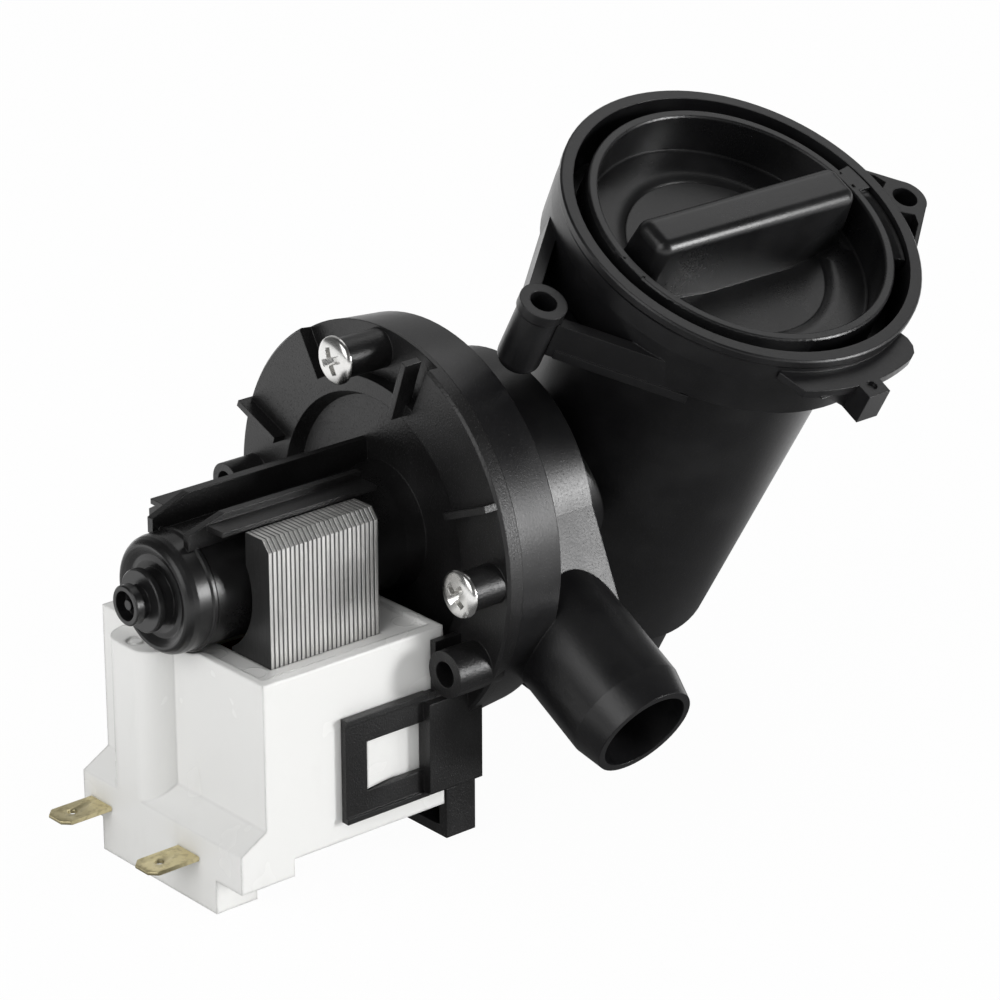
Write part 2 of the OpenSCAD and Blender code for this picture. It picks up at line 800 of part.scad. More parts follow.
module shaft_seal() {
    color("#3a1f1a")
        on_motor_axis()
            turned([[seal_pocket_r, seal_rear], [seal_pocket_r, seal_rear + seal_len],
                [seal_pocket_r - 1.2, seal_rear + seal_len], [bearing_bore_r, seal_rear + 0.9],
                [bearing_bore_r, seal_rear + 0.4], [seal_pocket_r - 1.2, seal_rear]]);
}

// The rotor can with its domed end and stepped nose, turned about the motor axis
module can_outside() {
    nose = -can_len - nose_len;
    turned([[0, nose], [3.5, nose], [3.7, nose + 0.2], [3.7, nose + 1.7], [3.1, nose + 2.1],
        [3.1, -can_len - 2.6], [5.6, -can_len - 2.6], [5.8, -can_len - 2.4], [5.8, -can_len - 1.4],
        [5.2, -can_len - 1], [5.2, -can_len + 1], [6.6, -can_len + 0.7], [7.6, -can_len + 0.9],
        [8.5, -can_len + 0.35], [9.1, -can_len + 0.05], [9.5, -can_len], [9.9, -can_len + 0.2],
        [10.3, -can_len + 0.65], [10.7, -can_len + 1.4], [can_r, -can_len + 2.4], [can_r, -can_len + 5.1],
        [can_r + 0.4, -can_len + 5.3], [can_r + 0.4, -can_len + 6], [can_r, -can_len + 6.4],
        [can_foot_r, -1], [can_foot_r + 0.8, plate_back], [can_foot_r + 0.8, plate_back + 1],
        [0, plate_back + 1]]);
}

// A rail on the can and its ledge that lies on the core, on the far side
module can_rail(front, top) {
    rear = -can_len + 3.9;
    rotate([90, 0, 0])
        translate([0, 0, -fin_y])
            linear_extrude(fin_t)
                polygon([[rear, 9.4], [rear, pole_top], [rear + 7.8, top], [front, top], [front, 9]]);
    translate([rear + 4, fin_y - eps, pole_top])
        cube([-rear - 11, ledge_reach - fin_y + eps, ledge_t]);
}

// The snap arm on the far side of the flange: a block, a gusset wall and a frame that catches the case
module snap_arm() {
    arm_rear = -26.5;
    block_rear = -8.8;
    arm_foot = -41.9;
    difference() {
        translate([arm_rear, arm_y, arm_foot])
            cube([-arm_rear, 1.3, 19.9]);
        translate([-21.8, arm_y - 1, -36.7])
            cube([13, 4, 9.6]);
    }
    translate([block_rear, arm_y, -41])
        cube([flange_t - 0.2 - block_rear, 3.1, 17.7]);
    translate([-6, arm_y, -24])
        cube([7, 1.4, 11.5]);
    for (z = [arm_foot, -22.9])
        translate([arm_rear, arm_y, z])
            cube([block_rear - arm_rear + 1, 1.7, 1.1]);
}

// The bracket under the flange that stands beside the front of the coil case
module flange_bracket() {
    out = flange_t + 0.9;
    rear = -2.3;
    web_top = -42;
    translate([0.4, -arm_y - 3, web_top + 0.9])
        cube([flange_t - 0.6, 2 * (arm_y + 3), 15]);
    difference() {
        translate([rear, -foot_half_w, -bracket_foot])
            cube([out - rear, 2 * foot_half_w, bracket_foot + web_top + 2]);
        translate([rear - 1, -foot_half_w + 2, -bracket_foot + 2])
            cube([out - rear - 0.6, 2 * foot_half_w - 4, bracket_foot]);
        translate([rear - 1, -foot_half_w - 1, web_top - 1.2])
            cube([0.1 - rear + 1, 2 * foot_half_w + 2, 2]);
    }
}

module motor_flange() {
    pocket_floor = 2.6;
    color(black)
        difference() {
            union() {
                on_motor_axis() {
                    can_outside();
                    difference() {
                        turned([[0, plate_back], [dish_r - 1.2, plate_back], [dish_r, 0],
                            [flange_r - 0.5, 0], [flange_r, 0.5], [flange_r - 0.35, flange_t],
                            [spigot_fit_r, flange_t], [spigot_fit_r, plug_front - gap],
                            [spigot_fit_r - 2.4, plug_front - gap], [spigot_fit_r - 2.4, plate_front],
                            [0, plate_front]]);
                        sector(28.6, flange_r + 1, -1, pocket_floor, 58.5, 115);
                    }
                    for (spot = rib_spots)
                        rotate([0, 0, spot[0]])
                            translate([spot[1], -rib_t / 2, -rib_h])
                                cube([spot[2] - spot[1], rib_t, rib_h + 1]);
                    for (angle = screw_angles)
                        rotate([0, 0, angle])
                            translate([boss_pitch_r, 0, -boss_h])
                                cylinder(r = boss_r, h = boss_h + 3);
                    for (angle = empty_boss_angles)
                        rotate([0, 0, angle])
                            translate([boss_pitch_r, 0, -empty_boss_h])
                                cylinder(r = boss_r, h = empty_boss_h + 3);
                    rotate([0, 0, big_boss_angle])
                        translate([boss_pitch_r, 0, -empty_boss_h])
                            cylinder(r = big_boss_r, h = empty_boss_h + 3);
                }
                motor_frame() {
                    can_rail(3.7, far_rail_top);
                    mirror([0, 1, 0])
                        can_rail(-7, near_rail_top);
                    for (side = [0, 1])
                        mirror([0, side, 0])
                            snap_arm();
                    flange_bracket();
                }
            }
            on_motor_axis() {
                translate([0, 0, -can_end])
                    cylinder(r = can_bore_r, h = can_end + plate_front + 1);
                // Pocket for the end of the shaft
                translate([0, 0, shaft_rear - 1])
                    cylinder(r = shaft_r + 0.6, h = 5);
                // Blind recess in the nose, with a pip left at its middle
                translate([0, 0, -can_len - nose_len - 1])
                    ring(0.95, 2.7, 0, 3.2);
                translate([0, 0, -can_len - nose_len - 1])
                    cylinder(r = 2.7, h = 1.6);
                for (angle = concat(screw_angles, empty_boss_angles))
                    rotate([0, 0, angle])
                        translate([boss_pitch_r, 0, -empty_boss_h - 1])
                            cylinder(r = shank_r + 0.15, h = far / 10);
                rotate([0, 0, big_boss_angle])
                    translate([boss_pitch_r, 0, -empty_boss_h - 1])
                        cylinder(r = big_boss_bore_r, h = empty_boss_h);
                // Groove of the flange seal
                ring(spigot_fit_r - flange_seal_depth, spigot_fit_r + 1, flange_t + 1.3, plug_front - gap - 1);
            }
        }
}

module flange_seal() {
    cord_r = flange_seal_depth / 2;
    color("#2b2b2b")
        on_motor_axis()
            rotate_extrude()
                translate([spigot_fit_r - cord_r, flange_t + 1.3 + cord_r + gap])
                    circle(r = cord_r - running);
}

module flange_screws() {
    color("silver")
        on_motor_axis()
            for (angle = screw_angles)
                rotate([0, 0, angle])
                    translate([boss_pitch_r, 0, -boss_h])
                        difference() {
                            turned(concat([[0, shank_len], [shank_r - 1, shank_len], [shank_r, shank_len - 2],
                                [shank_r, 0], [head_r, 0]], arc(head_r - 1.6, -head_h + 1.6, 1.6, 0, -75),
                                [[0, -head_h]]));
                            for (turn = [0, 90])
                                rotate([0, 0, 45 + turn])
                                    translate([-2.3, -0.55, -head_h - 1])
                                        cube([4.6, 1.1, 2.4]);
                        }
}

// Outline of one lamination: two poles round the rotor bore, two legs and a yoke
module lamination_outline(shrink) {
    difference() {
        polygon([[-core_half_w + shrink, -yoke_foot + shrink], [core_half_w - shrink, -yoke_foot + shrink],
            [core_half_w - shrink, pole_cut_z], [pole_cut_y, pole_top - shrink],
            [-pole_shoulder, pole_top - shrink], [-core_half_w + shrink, pole_top - pole_shoulder_h]]);
        circle(r = pole_bore_r + shrink);
        translate([-pole_gap_half - shrink, 0])
            square([2 * (pole_gap_half + shrink), far / 4]);
        translate([-pole_slit_half, -pole_foot - 1])
            square([2 * pole_slit_half, pole_foot]);
        translate([-leg_inner - shrink, -core_foot - shrink])
            square([2 * (leg_inner + shrink), core_foot - pole_foot + 2 * shrink]);
    }
}

module laminated_core() {
    seam = 0.12;
    color(steel)
        on_motor_axis()
            translate([0, 0, -core_rear]) {
                linear_extrude(core_len - seam)
                    lamination_outline(0.25);
                for (i = [0:sheets - 1])
                    translate([0, 0, i * sheet_pitch])
                        linear_extrude(sheet_pitch - seam)
                            lamination_outline(0);
            }
}

// Side outline of the coil case: its box, and the block and foot behind it
module case_profile() {
    polygon([[-case_front, -case_top], [-case_rear, -case_top], [-case_rear, -block_chamfer_top],
        [-case_rear - block_out, -block_top], [-case_rear - block_out, -block_bottom],
        [-block_front, -block_bottom], [-block_front, -case_bottom], [-case_front, -case_bottom]]);
}

// Outline of the column up the rear of the case, with rounded sides
module column_outline() {
    rear = -case_rear;
    polygon(concat([[rear + 1, column_to]], oval(rear, column_to - column_round, block_out, column_round, 90, 180, 8),
        oval(rear, column_from + column_round, block_out, column_round, 180, 270, 8), [[rear + 1, column_from]]));
}

module coil_case() {
    rear = case_rear + block_out;
    cavity_front = core_front - winding_t - bobbin_t - 2 * coil_clear;
    cavity_rear = core_rear + winding_t + bobbin_t + 2 * coil_clear;
    column_mid = (column_from + column_to) / 2;
    color("#e9e9e6")
        motor_frame()
            difference() {
                union() {
                    rotate([90, 0, 0])
                        translate([0, 0, -case_half_w])
                            linear_extrude(2 * case_half_w)
                                case_profile();
                    // Foot under the terminal block
                    translate([-rear, -16, -foot_level])
                        cube([9, 34, foot_level - block_bottom + 1]);
                    translate([0, 0, -block_top - 1])
                        linear_extrude(block_top + 1 - column_top)
                            column_outline();
                    // Catches for the snap arms
                    for (side = [0, 1])
                        mirror([0, side, 0])
                            translate([0, 0, -36.5])
                                linear_extrude(9.2)
                                    polygon([[-21.5, case_half_w - 0.5], [-21.5, case_half_w + 1.3],
                                        [-13, case_half_w], [-13, case_half_w - 0.5]]);
                }
                // Shallow floor inside the top rim
                translate([-case_rear + 1.6, -case_half_w + 2.2, -case_top - 0.9])
                    cube([case_rear - case_front - 3.2, 2 * case_half_w - 4.4, 2]);
                // Trough that clears the rotor can
                translate([-case_rear - 1, 0, 0])
                    rotate([0, 90, 0])
                        cylinder(r = can_foot_r + 0.5, h = case_rear);
                // Slot for the core and the room of the coils
                translate([-core_rear - 0.1, -core_half_w - 0.1, -yoke_foot - 0.1])
                    cube([core_len + 0.2, 2 * core_half_w + 0.2, yoke_foot]);
                translate([-cavity_rear, -case_half_w + case_wall, -case_bottom + case_wall])
                    cube([cavity_rear - cavity_front, 2 * (case_half_w - case_wall),
                        case_bottom - case_wall - coil_top + 0.5]);
                // Round recess on top of the column
                translate([-case_rear - block_out / 2, column_mid, -column_top - 0.5])
                    ring(1.2, 1.9, 0, 2);
                // Slots of the two terminals
                for (y = [spade_near_y, spade_far_y])
                    translate([-rear - 1, y - spade_w / 2, spade_z - spade_t / 2])
                        cube([block_out + 6, spade_w, spade_t]);
            }
}

// A frame round one core leg between two heights, on the positive side
module leg_frame(inner_gap, outer_gap, from, to) {
    inner = leg_inner - inner_gap;
    difference() {
        translate([-core_rear - outer_gap, leg_inner - outer_gap, from])
            cube([core_len + 2 * outer_gap, leg_w + 2 * outer_gap, to - from]);
        translate([-core_rear - inner_gap, inner, from - 1])
            cube([core_len + 2 * inner_gap, leg_w + 2 * inner_gap, to - from + 2]);
    }
}

module bobbin() {
    low = -core_foot + coil_clear;
    high = -coil_top;
    wide = coil_clear + bobbin_t + winding_t;
    leg_frame(coil_clear, coil_clear + bobbin_t, low, high);
    leg_frame(coil_clear, wide, low, low + bobbin_t);
    leg_frame(coil_clear, wide, high - bobbin_t, high);
}

module winding() {
    low = -core_foot + coil_clear + bobbin_t;
    high = -coil_top - bobbin_t;
    leg_frame(coil_clear + bobbin_t, coil_clear + bobbin_t + winding_t - 0.1, low, high);
}

module coil_bobbin_far() {
    color("#d9d2b8")
        motor_frame()
            bobbin();
}

module coil_bobbin_near() {
    color("#d9d2b8")
        motor_frame()
            mirror([0, 1, 0])
                bobbin();
}

module coil_winding_far() {
    color("#b5693a")
        motor_frame()
            winding();
}

module coil_winding_near() {
    color("#b5693a")
        motor_frame()
            mirror([0, 1, 0])
                winding();
}

// A spade terminal: a flat blade with bevelled tips and a latch hole
module spade(y) {
    rear = case_rear + block_out;
    color("#c8a24a")
        motor_frame()
            translate([-rear, y, spade_z - spade_t / 2])
                difference() {
                    linear_extrude(spade_t)
                        polygon([[block_out, -spade_w / 2], [block_out, spade_w / 2], [-spade_len + 1, spade_w / 2],
                            [-spade_len, spade_w / 2 - 1], [-spade_len, -spade_w / 2 + 1],
                            [-spade_len + 1, -spade_w / 2]]);
                    translate([-6.3, 0, -1])
                        cylinder(r = 0.75, h = 3);
                }
}

module spade_terminal_near() {
    spade(spade_near_y);
}

module spade_terminal_far() {
    spade(spade_far_y);
}

filter_housing();
filter_cap();
cap_seal();
lint_filter();
impeller();
impeller_hub_cover();
drive_dog();
rotor_shaft();
rotor_carrier();
rotor_magnet();
thrust_washers();
rear_bearing();
rear_bearing_mount();
front_bearing();
front_bearing_mount();
bearing_cover();
shaft_seal();
motor_flange();
flange_seal();
flange_screws();
laminated_core();
coil_case();
coil_bobbin_near();
coil_bobbin_far();
coil_winding_near();
coil_winding_far();
spade_terminal_near();
spade_terminal_far();
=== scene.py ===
"""Washer drain pump: finishes, fine pieces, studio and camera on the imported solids."""

import json
import logging
import math
from dataclasses import dataclass
from enum import Enum
from typing import Any, Dict, List, Sequence, Tuple, Union

import bmesh
import bpy
from mathutils import Matrix, Vector

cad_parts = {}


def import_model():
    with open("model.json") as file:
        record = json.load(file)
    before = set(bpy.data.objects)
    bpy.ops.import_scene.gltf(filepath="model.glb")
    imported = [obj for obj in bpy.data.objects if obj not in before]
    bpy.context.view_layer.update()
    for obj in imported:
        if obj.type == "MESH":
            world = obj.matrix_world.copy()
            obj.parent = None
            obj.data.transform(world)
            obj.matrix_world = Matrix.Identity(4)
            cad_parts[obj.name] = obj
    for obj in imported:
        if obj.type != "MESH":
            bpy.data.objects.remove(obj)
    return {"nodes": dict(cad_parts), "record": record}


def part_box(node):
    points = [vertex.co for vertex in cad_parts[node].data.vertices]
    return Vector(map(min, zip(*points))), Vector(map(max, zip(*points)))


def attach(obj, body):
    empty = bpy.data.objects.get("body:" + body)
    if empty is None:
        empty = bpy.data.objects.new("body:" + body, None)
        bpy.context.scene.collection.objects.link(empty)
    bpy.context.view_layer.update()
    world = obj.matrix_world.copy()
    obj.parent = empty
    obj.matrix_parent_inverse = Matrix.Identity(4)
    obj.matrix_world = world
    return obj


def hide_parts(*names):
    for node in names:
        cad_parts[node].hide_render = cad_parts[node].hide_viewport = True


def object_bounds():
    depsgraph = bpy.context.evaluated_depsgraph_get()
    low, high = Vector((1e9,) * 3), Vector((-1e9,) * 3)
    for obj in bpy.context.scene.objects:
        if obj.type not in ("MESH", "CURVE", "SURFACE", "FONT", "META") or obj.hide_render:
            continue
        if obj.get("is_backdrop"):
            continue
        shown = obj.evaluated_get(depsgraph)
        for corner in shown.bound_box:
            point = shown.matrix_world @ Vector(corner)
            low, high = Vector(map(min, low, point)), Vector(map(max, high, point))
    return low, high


log = logging.getLogger("drain_pump")

Triple = Tuple[float, float, float]
MM = 0.001
MERGE_DISTANCE = 1e-6
ALONG_X: Triple = (1.0, 0.0, 0.0)
ALONG_Z: Triple = (0.0, 0.0, 1.0)
WHITE: Triple = (1.0, 1.0, 1.0)


class Body(Enum):
    """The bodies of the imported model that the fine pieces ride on."""

    BASE = "base"
    CAP = "cap"


class Join(Enum):
    """How a second shape changes the first."""

    CUT = "DIFFERENCE"
    ADD = "UNION"


# Shader tools


class Sock:
    """A shader socket that takes part in arithmetic; each step adds a Math node."""

    def __init__(self, graph: "Graph", socket: bpy.types.NodeSocket) -> None:
        """Wraps one output socket.

        Args:
            graph: The graph that the socket belongs to.
            socket: The output socket.
        """
        self.graph = graph
        self.socket = socket

    def _math(self, operation: str, *values: Any) -> "Sock":
        """Adds a Math node.

        Args:
            operation: The Math node's operation.
            values: The values or sockets of its inputs, in order.

        Returns:
            The node's result.
        """
        return self.graph.node("ShaderNodeMath", {"operation": operation}, dict(enumerate(values)))

    def __add__(self, other: Any) -> "Sock":
        """Sum."""
        return self._math("ADD", self, other)

    def __sub__(self, other: Any) -> "Sock":
        """Difference."""
        return self._math("SUBTRACT", self, other)

    def __rsub__(self, other: Any) -> "Sock":
        """Difference with this socket second."""
        return self._math("SUBTRACT", other, self)

    def __mul__(self, other: Any) -> "Sock":
        """Product."""
        return self._math("MULTIPLY", self, other)

    def __truediv__(self, other: Any) -> "Sock":
        """Quotient."""
        return self._math("DIVIDE", self, other)

    def __abs__(self) -> "Sock":
        """Absolute value."""
        return self._math("ABSOLUTE", self)

    def fraction(self) -> "Sock":
        """The part after the decimal point."""
        return self._math("FRACT", self)

    def whole(self) -> "Sock":
        """The part before the decimal point."""
        return self._math("FLOOR", self)

    def step(self, low: float, high: float) -> "Sock":
        """Rises smoothly from 0 at low to 1 at high.

        Args:
            low: Where the rise starts.
            high: Where it ends. It may be below low, for a fall.

        Returns:
            The smooth step, between 0 and 1.
        """
        settings = {"interpolation_type": "SMOOTHSTEP"}
        if high > low:
            return self.graph.node("ShaderNodeMapRange", settings, {0: self, 1: low, 2: high})
        return 1.0 - self.graph.node("ShaderNodeMapRange", settings, {0: self, 1: high, 2: low})


class Graph:
    """The node tree of one material, built from expressions."""

    def __init__(self, name: str) -> None:
        """Makes an empty material with a Principled shader.

        Args:
            name: The material's name.
        """
        self.material = bpy.data.materials.new(name)
        self.material.use_nodes = True
        self.tree = self.material.node_tree
        self.tree.nodes.clear()
        self.shader = self.tree.nodes.new("ShaderNodeBsdfPrincipled")
        output = self.tree.nodes.new("ShaderNodeOutputMaterial")
        self.tree.links.new(self.shader.outputs[0], output.inputs["Surface"])
        self.place = self.node("ShaderNodeTexCoord", {}, {}, "Object")

    def node(
        self,
        kind: str,
        settings: Dict[str, Any],
        inputs: Dict[Union[int, str], Any],
        output: Union[int, str] = 0,
    ) -> Sock:
        """Adds any node.

        Args:
            kind: The node's type.
            settings: Its properties, set first.
            inputs: Values, or sockets to link, by the input's name or number.
            output: The output wanted, by name or number.

        Returns:
            That output.
        """
        made = self.tree.nodes.new(kind)
        for key, value in settings.items():
            setattr(made, key, value)
        for key, value in inputs.items():
            self.put(made.inputs[key], value)
        return Sock(self, made.outputs[output])

    def put(self, socket: bpy.types.NodeSocket, value: Any) -> None:
        """Links or sets one input.

        Args:
            socket: The input.
            value: A Sock to link, or a number, colour or vector to set.
        """
        if isinstance(value, Sock):
            self.tree.links.new(value.socket, socket)
        elif isinstance(value, (tuple, list)) and len(value) == 3 and socket.type == "RGBA":
            socket.default_value = (*value, 1.0)
        else:
            socket.default_value = value

    def set(self, **values: Any) -> None:
        """Sets inputs of the Principled shader, with _ for each space in a name."""
        for key, value in values.items():
            self.put(self.shader.inputs[key.replace("_", " ")], value)

    def noise(self, size: float, detail: float = 2.0, stretch: Triple = (1.0, 1.0, 1.0)) -> Sock:
        """Noise with features of a real size.

        Args:
            size: The size of its features in metres.
            detail: Its octaves.
            stretch: How much longer the features are along X, Y and Z.

        Returns:
            The noise, mostly between 0.3 and 0.7.
        """
        scale = tuple(1.0 / (size * s) for s in stretch)
        spot = self.node("ShaderNodeMapping", {}, {"Vector": self.place, "Scale": scale})
        wanted = {"Vector": spot, "Scale": 1.0, "Detail": detail}
        return self.node("ShaderNodeTexNoise", {}, wanted, "Fac")

    def along(self, direction: Triple, origin: Triple = (0.0, 0.0, 0.0)) -> Sock:
        """Distance from a plane, in metres.

        Args:
            direction: The plane's unit normal.
            origin: A point on the plane.

        Returns:
            The signed distance.
        """
        settings = {"operation": "DOT_PRODUCT"}
        spot = self.node("ShaderNodeVectorMath", settings, {0: self.place, 1: direction}, "Value")
        return spot - sum(a * b for a, b in zip(direction, origin))

    def around(self, axis: Triple, origin: Triple) -> Sock:
        """Distance from a line, in metres.

        Args:
            axis: The line's unit direction.
            origin: A point on the line.

        Returns:
            The distance, never negative.
        """
        minus = {"operation": "SUBTRACT"}
        cross = {"operation": "CROSS_PRODUCT"}
        arm = self.node("ShaderNodeVectorMath", minus, {0: self.place, 1: origin})
        turned = self.node("ShaderNodeVectorMath", cross, {0: arm, 1: axis})
        return self.node("ShaderNodeVectorMath", {"operation": "LENGTH"}, {0: turned}, "Value")

    def blend(self, share: Any, first: Any, second: Any) -> Sock:
        """Mixes two colours.

        Args:
            share: How much of the second colour, from 0 to 1.
            first: The first colour.
            second: The second colour.

        Returns:
            The mixed colour.
        """
        settings = {"data_type": "RGBA", "clamp_factor": True}
        return self.node("ShaderNodeMix", settings, {0: share, 6: first, 7: second}, 2)

    def relief(self, height: Any, depth: float, edge: float = 0.0) -> None:
        """Feeds the Normal from a height, with corners rounded.

        Args:
            height: The height, from 0 to 1.
            depth: The real depth in metres that 1 stands for.
            edge: The radius of the worn corners in metres, or 0.
        """
        wanted: Dict[Union[int, str], Any] = {"Distance": depth, "Height": height}
        if edge > 0:
            wanted["Normal"] = self.node("ShaderNodeBevel", {"samples": 4}, {"Radius": edge})
        self.set(Normal=self.node("ShaderNodeBump", {}, wanted))


# Finishes


@dataclass(frozen=True)
class Finish:
    """What every finish has.

    Attributes:
        name: The material's name.
        colour: The base colour, linear.
        roughness: The mean roughness.
    """

    name: str
    colour: Triple
    roughness: float

    def make(self) -> bpy.types.Material:
        """Builds the material."""
        graph = Graph(self.name)
        graph.set(Base_Color=self.colour, Roughness=self.roughness)
        self.shade(graph)
        return graph.material

    def shade(self, graph: Graph) -> None:
        """Adds what the finish shows beyond its plain colour; each finish has its own.

        Args:
            graph: The material's graph.
        """


@dataclass(frozen=True)
class MouldedBlack(Finish):
    """Black injection-moulded plastic with an eroded grain, flow marks and rounded corners.

    Attributes:
        lift: The colour of the paler specks and rubbed places.
        grain: The size of the grain in metres.
        depth: The depth of the grain in metres.
        edge: The radius of the corners in metres.
        flow: How much the gloss wanders.
        flow_size: The size of the flow marks in metres.
        sleek_r: The radius round the motor's axis within which it is polished, or 0.
        sleek_rim: How far that polish takes to fade out, in metres.
        sleek_loss: The share of the grain that the polish takes away.
        sleek_gloss: How much smoother it is there.
    """

    lift: Triple = (0.016, 0.016, 0.0165)
    grain: float = 0.0005
    depth: float = 0.00003
    edge: float = 0.0003
    flow: float = 0.16
    flow_size: float = 0.012
    sleek_r: float = 0.0
    sleek_rim: float = 0.001
    sleek_loss: float = 0.9
    sleek_gloss: float = 0.08

    def shade(self, graph: Graph) -> None:
        """Adds grain, specks, flow marks and the polished middle.

        Args:
            graph: The material's graph.
        """
        fine = graph.noise(self.grain, 2.0)
        broad = graph.noise(self.flow_size, 3.0)
        speck = graph.noise(self.grain * 0.7, 1.0).step(0.64, 0.74)
        height = fine + speck * 0.6
        share = broad.step(0.42, 0.72) * 0.5 + speck * 0.35
        roughness = (broad - 0.5) * self.flow + (fine - 0.5) * 0.1 + self.roughness
        if self.sleek_r > 0:
            away = graph.around(ALONG_X, MotorAxes().origin())
            sleek = away.step(self.sleek_r + self.sleek_rim, self.sleek_r)
            height = height * (1.0 - sleek * self.sleek_loss)
            roughness = roughness - sleek * self.sleek_gloss
        graph.set(Base_Color=graph.blend(share, self.colour, self.lift), Roughness=roughness)
        graph.relief(height, self.depth, self.edge)


@dataclass(frozen=True)
class MouldedWhite(Finish):
    """White moulded plastic, smooth, with faint waves, handling marks and pin marks.

    Attributes:
        shade_colour: The colour of faint handling marks.
        wave_size: The size of its waves in metres.
        mark_size: The size of the handling marks in metres.
        edge: The radius of the corners in metres.
        pins: Middle points of the round pin marks on its top floor.
        pin_r: The radius of a pin mark in metres.
        pin_line: Where the rim of a pin mark fades out and where it is full, in metres.
        pin_reach: How far above and below its point a mark fades out and is full.
        depth: The depth of the waves in metres.
    """

    shade_colour: Triple = (0.62, 0.62, 0.59)
    wave_size: float = 0.009
    mark_size: float = 0.006
    edge: float = 0.0006
    pins: Tuple[Triple, ...] = ()
    pin_r: float = 0.0023
    pin_line: Tuple[float, float] = (0.00028, 0.00008)
    pin_reach: Tuple[float, float] = (0.0012, 0.0008)
    depth: float = 0.00003

    def shade(self, graph: Graph) -> None:
        """Adds waves, handling marks and pin marks.

        Args:
            graph: The material's graph.
        """
        wave = graph.noise(self.wave_size, 2.0)
        fine = graph.noise(0.0006, 2.0)
        mark = graph.noise(self.mark_size, 4.0, (1.0, 1.0, 3.0)).step(0.6, 0.75)
        height = wave * 0.5 + fine * 0.03
        for pin in self.pins:
            rim = abs(graph.around(ALONG_Z, pin) - self.pin_r).step(*self.pin_line)
            top = abs(graph.along(ALONG_Z, pin)).step(*self.pin_reach)
            height = height + rim * top * 2.0
        graph.set(
            Base_Color=graph.blend(mark * 0.1, self.colour, self.shade_colour),
            Roughness=wave * 0.1 + (self.roughness - 0.05),
        )
        graph.relief(height, self.depth, self.edge)


@dataclass(frozen=True)
class SheetStack(Finish):
    """The punched edges of stacked electrical steel sheets.

    Attributes:
        start: Where the stack starts along X, in metres.
        pitch: The thickness of one sheet with its gap, in metres.
        middle: Where the middle of a sheet's edge is, as a share of the pitch.
        gap_line: How far from there the gap starts and where it is deepest, in the same shares.
        smear_size: The size of the punch's smears in metres.
        spot_size: The size of the worn spots in metres.
        gap_colour: The colour between two sheets.
        rear_shade_colour: The dark colour painted on the rear face as shade.
        burr_colour: The colour of the duller sheets.
        rust_colour: The colour of the worn spots.
        depth: The depth of the gaps in metres.
    """

    start: float = 0.0
    pitch: float = 0.000975
    middle: float = 0.44
    gap_line: Tuple[float, float] = (0.24, 0.44)
    smear_size: float = 0.0016
    spot_size: float = 0.0022
    gap_colour: Triple = (0.14, 0.14, 0.14)
    rear_shade_colour: Triple = (0.02, 0.02, 0.02)
    burr_colour: Triple = (0.42, 0.42, 0.41)
    rust_colour: Triple = (0.2, 0.19, 0.18)
    depth: float = 0.00012

    def shade(self, graph: Graph) -> None:
        """Adds the sheets, their burrs and the smears that the punch leaves.

        Args:
            graph: The material's graph.
        """
        sheets = (graph.along(ALONG_X) - self.start) / self.pitch
        gap = abs(sheets.fraction() - self.middle).step(*self.gap_line)
        single = {"noise_dimensions": "1D"}
        own = graph.node("ShaderNodeTexWhiteNoise", single, {"W": sheets.whole()}, "Value")
        smear = graph.noise(self.smear_size, 4.0, (1.2, 1.2, 5.0))
        spot = graph.noise(self.spot_size, 5.0).step(0.56, 0.7)
        streak = graph.noise(0.00025, 2.0, (1.0, 1.0, 24.0))
        bright = graph.blend(own * 0.3 + smear * 0.35, self.colour, self.burr_colour)
        worn = graph.blend(spot * 0.12, bright, self.rust_colour)
        # Painted shade: the rear face is made dark and less metallic, standing in for the shade
        # that falls on it.
        rear = sheets.step(0.08, 0.04)
        sides = graph.blend(gap, worn, self.gap_colour)
        graph.set(
            Base_Color=graph.blend(rear, sides, self.rear_shade_colour),
            Metallic=(1.0 - gap * 0.6) * (1.0 - rear * 0.7),
            Roughness=streak * 0.3 + spot * 0.15 + (self.roughness - 0.12),
        )
        graph.relief((1.0 - gap) + streak * 0.25 + smear * 0.3, self.depth)


@dataclass(frozen=True)
class BareMetal(Finish):
    """Plated, rolled or ground metal.

    Attributes:
        stain: The colour of its duller places.
        lay: How much longer its marks are along X, Y and Z.
        mark: The size of the marks in metres.
        depth: Their depth in metres.
        spots: How much of the surface is dull.
        edge: The radius of the corners in metres.
    """

    stain: Triple = (0.4, 0.4, 0.39)
    lay: Triple = (1.0, 1.0, 1.0)
    mark: float = 0.0002
    depth: float = 0.000008
    spots: float = 0.4
    edge: float = 0.0

    def shade(self, graph: Graph) -> None:
        """Adds marks along the lay of the surface, and dull places.

        Args:
            graph: The material's graph.
        """
        streak = graph.noise(self.mark, 3.0, self.lay)
        cloud = graph.noise(0.0012, 4.0)
        dull = cloud.step(0.48, 0.68) * self.spots
        graph.set(
            Base_Color=graph.blend(dull, self.colour, self.stain),
            Metallic=1.0,
            Roughness=streak * 0.16 + dull * 0.22 + (self.roughness - 0.08),
        )
        graph.relief(streak + cloud * 0.5, self.depth, self.edge)


@dataclass(frozen=True)
class Rubber(Finish):
    """Moulded rubber with a dull bloom and a very fine grain.

    Attributes:
        bloom: The colour of the bloom.
        bloom_size: The size of its clouds in metres.
        depth: The depth of the grain in metres.
    """

    bloom: Triple = (0.05, 0.05, 0.052)
    bloom_size: float = 0.004
    depth: float = 0.00002

    def shade(self, graph: Graph) -> None:
        """Adds bloom and grain.

        Args:
            graph: The material's graph.
        """
        cloud = graph.noise(self.bloom_size, 4.0)
        fine = graph.noise(0.00025, 2.0)
        graph.set(
            Base_Color=graph.blend(cloud.step(0.4, 0.7), self.colour, self.bloom),
            Roughness=cloud * 0.2 + (self.roughness - 0.1),
            Specular_IOR_Level=0.35,
        )
        graph.relief(fine + cloud * 0.4, self.depth)


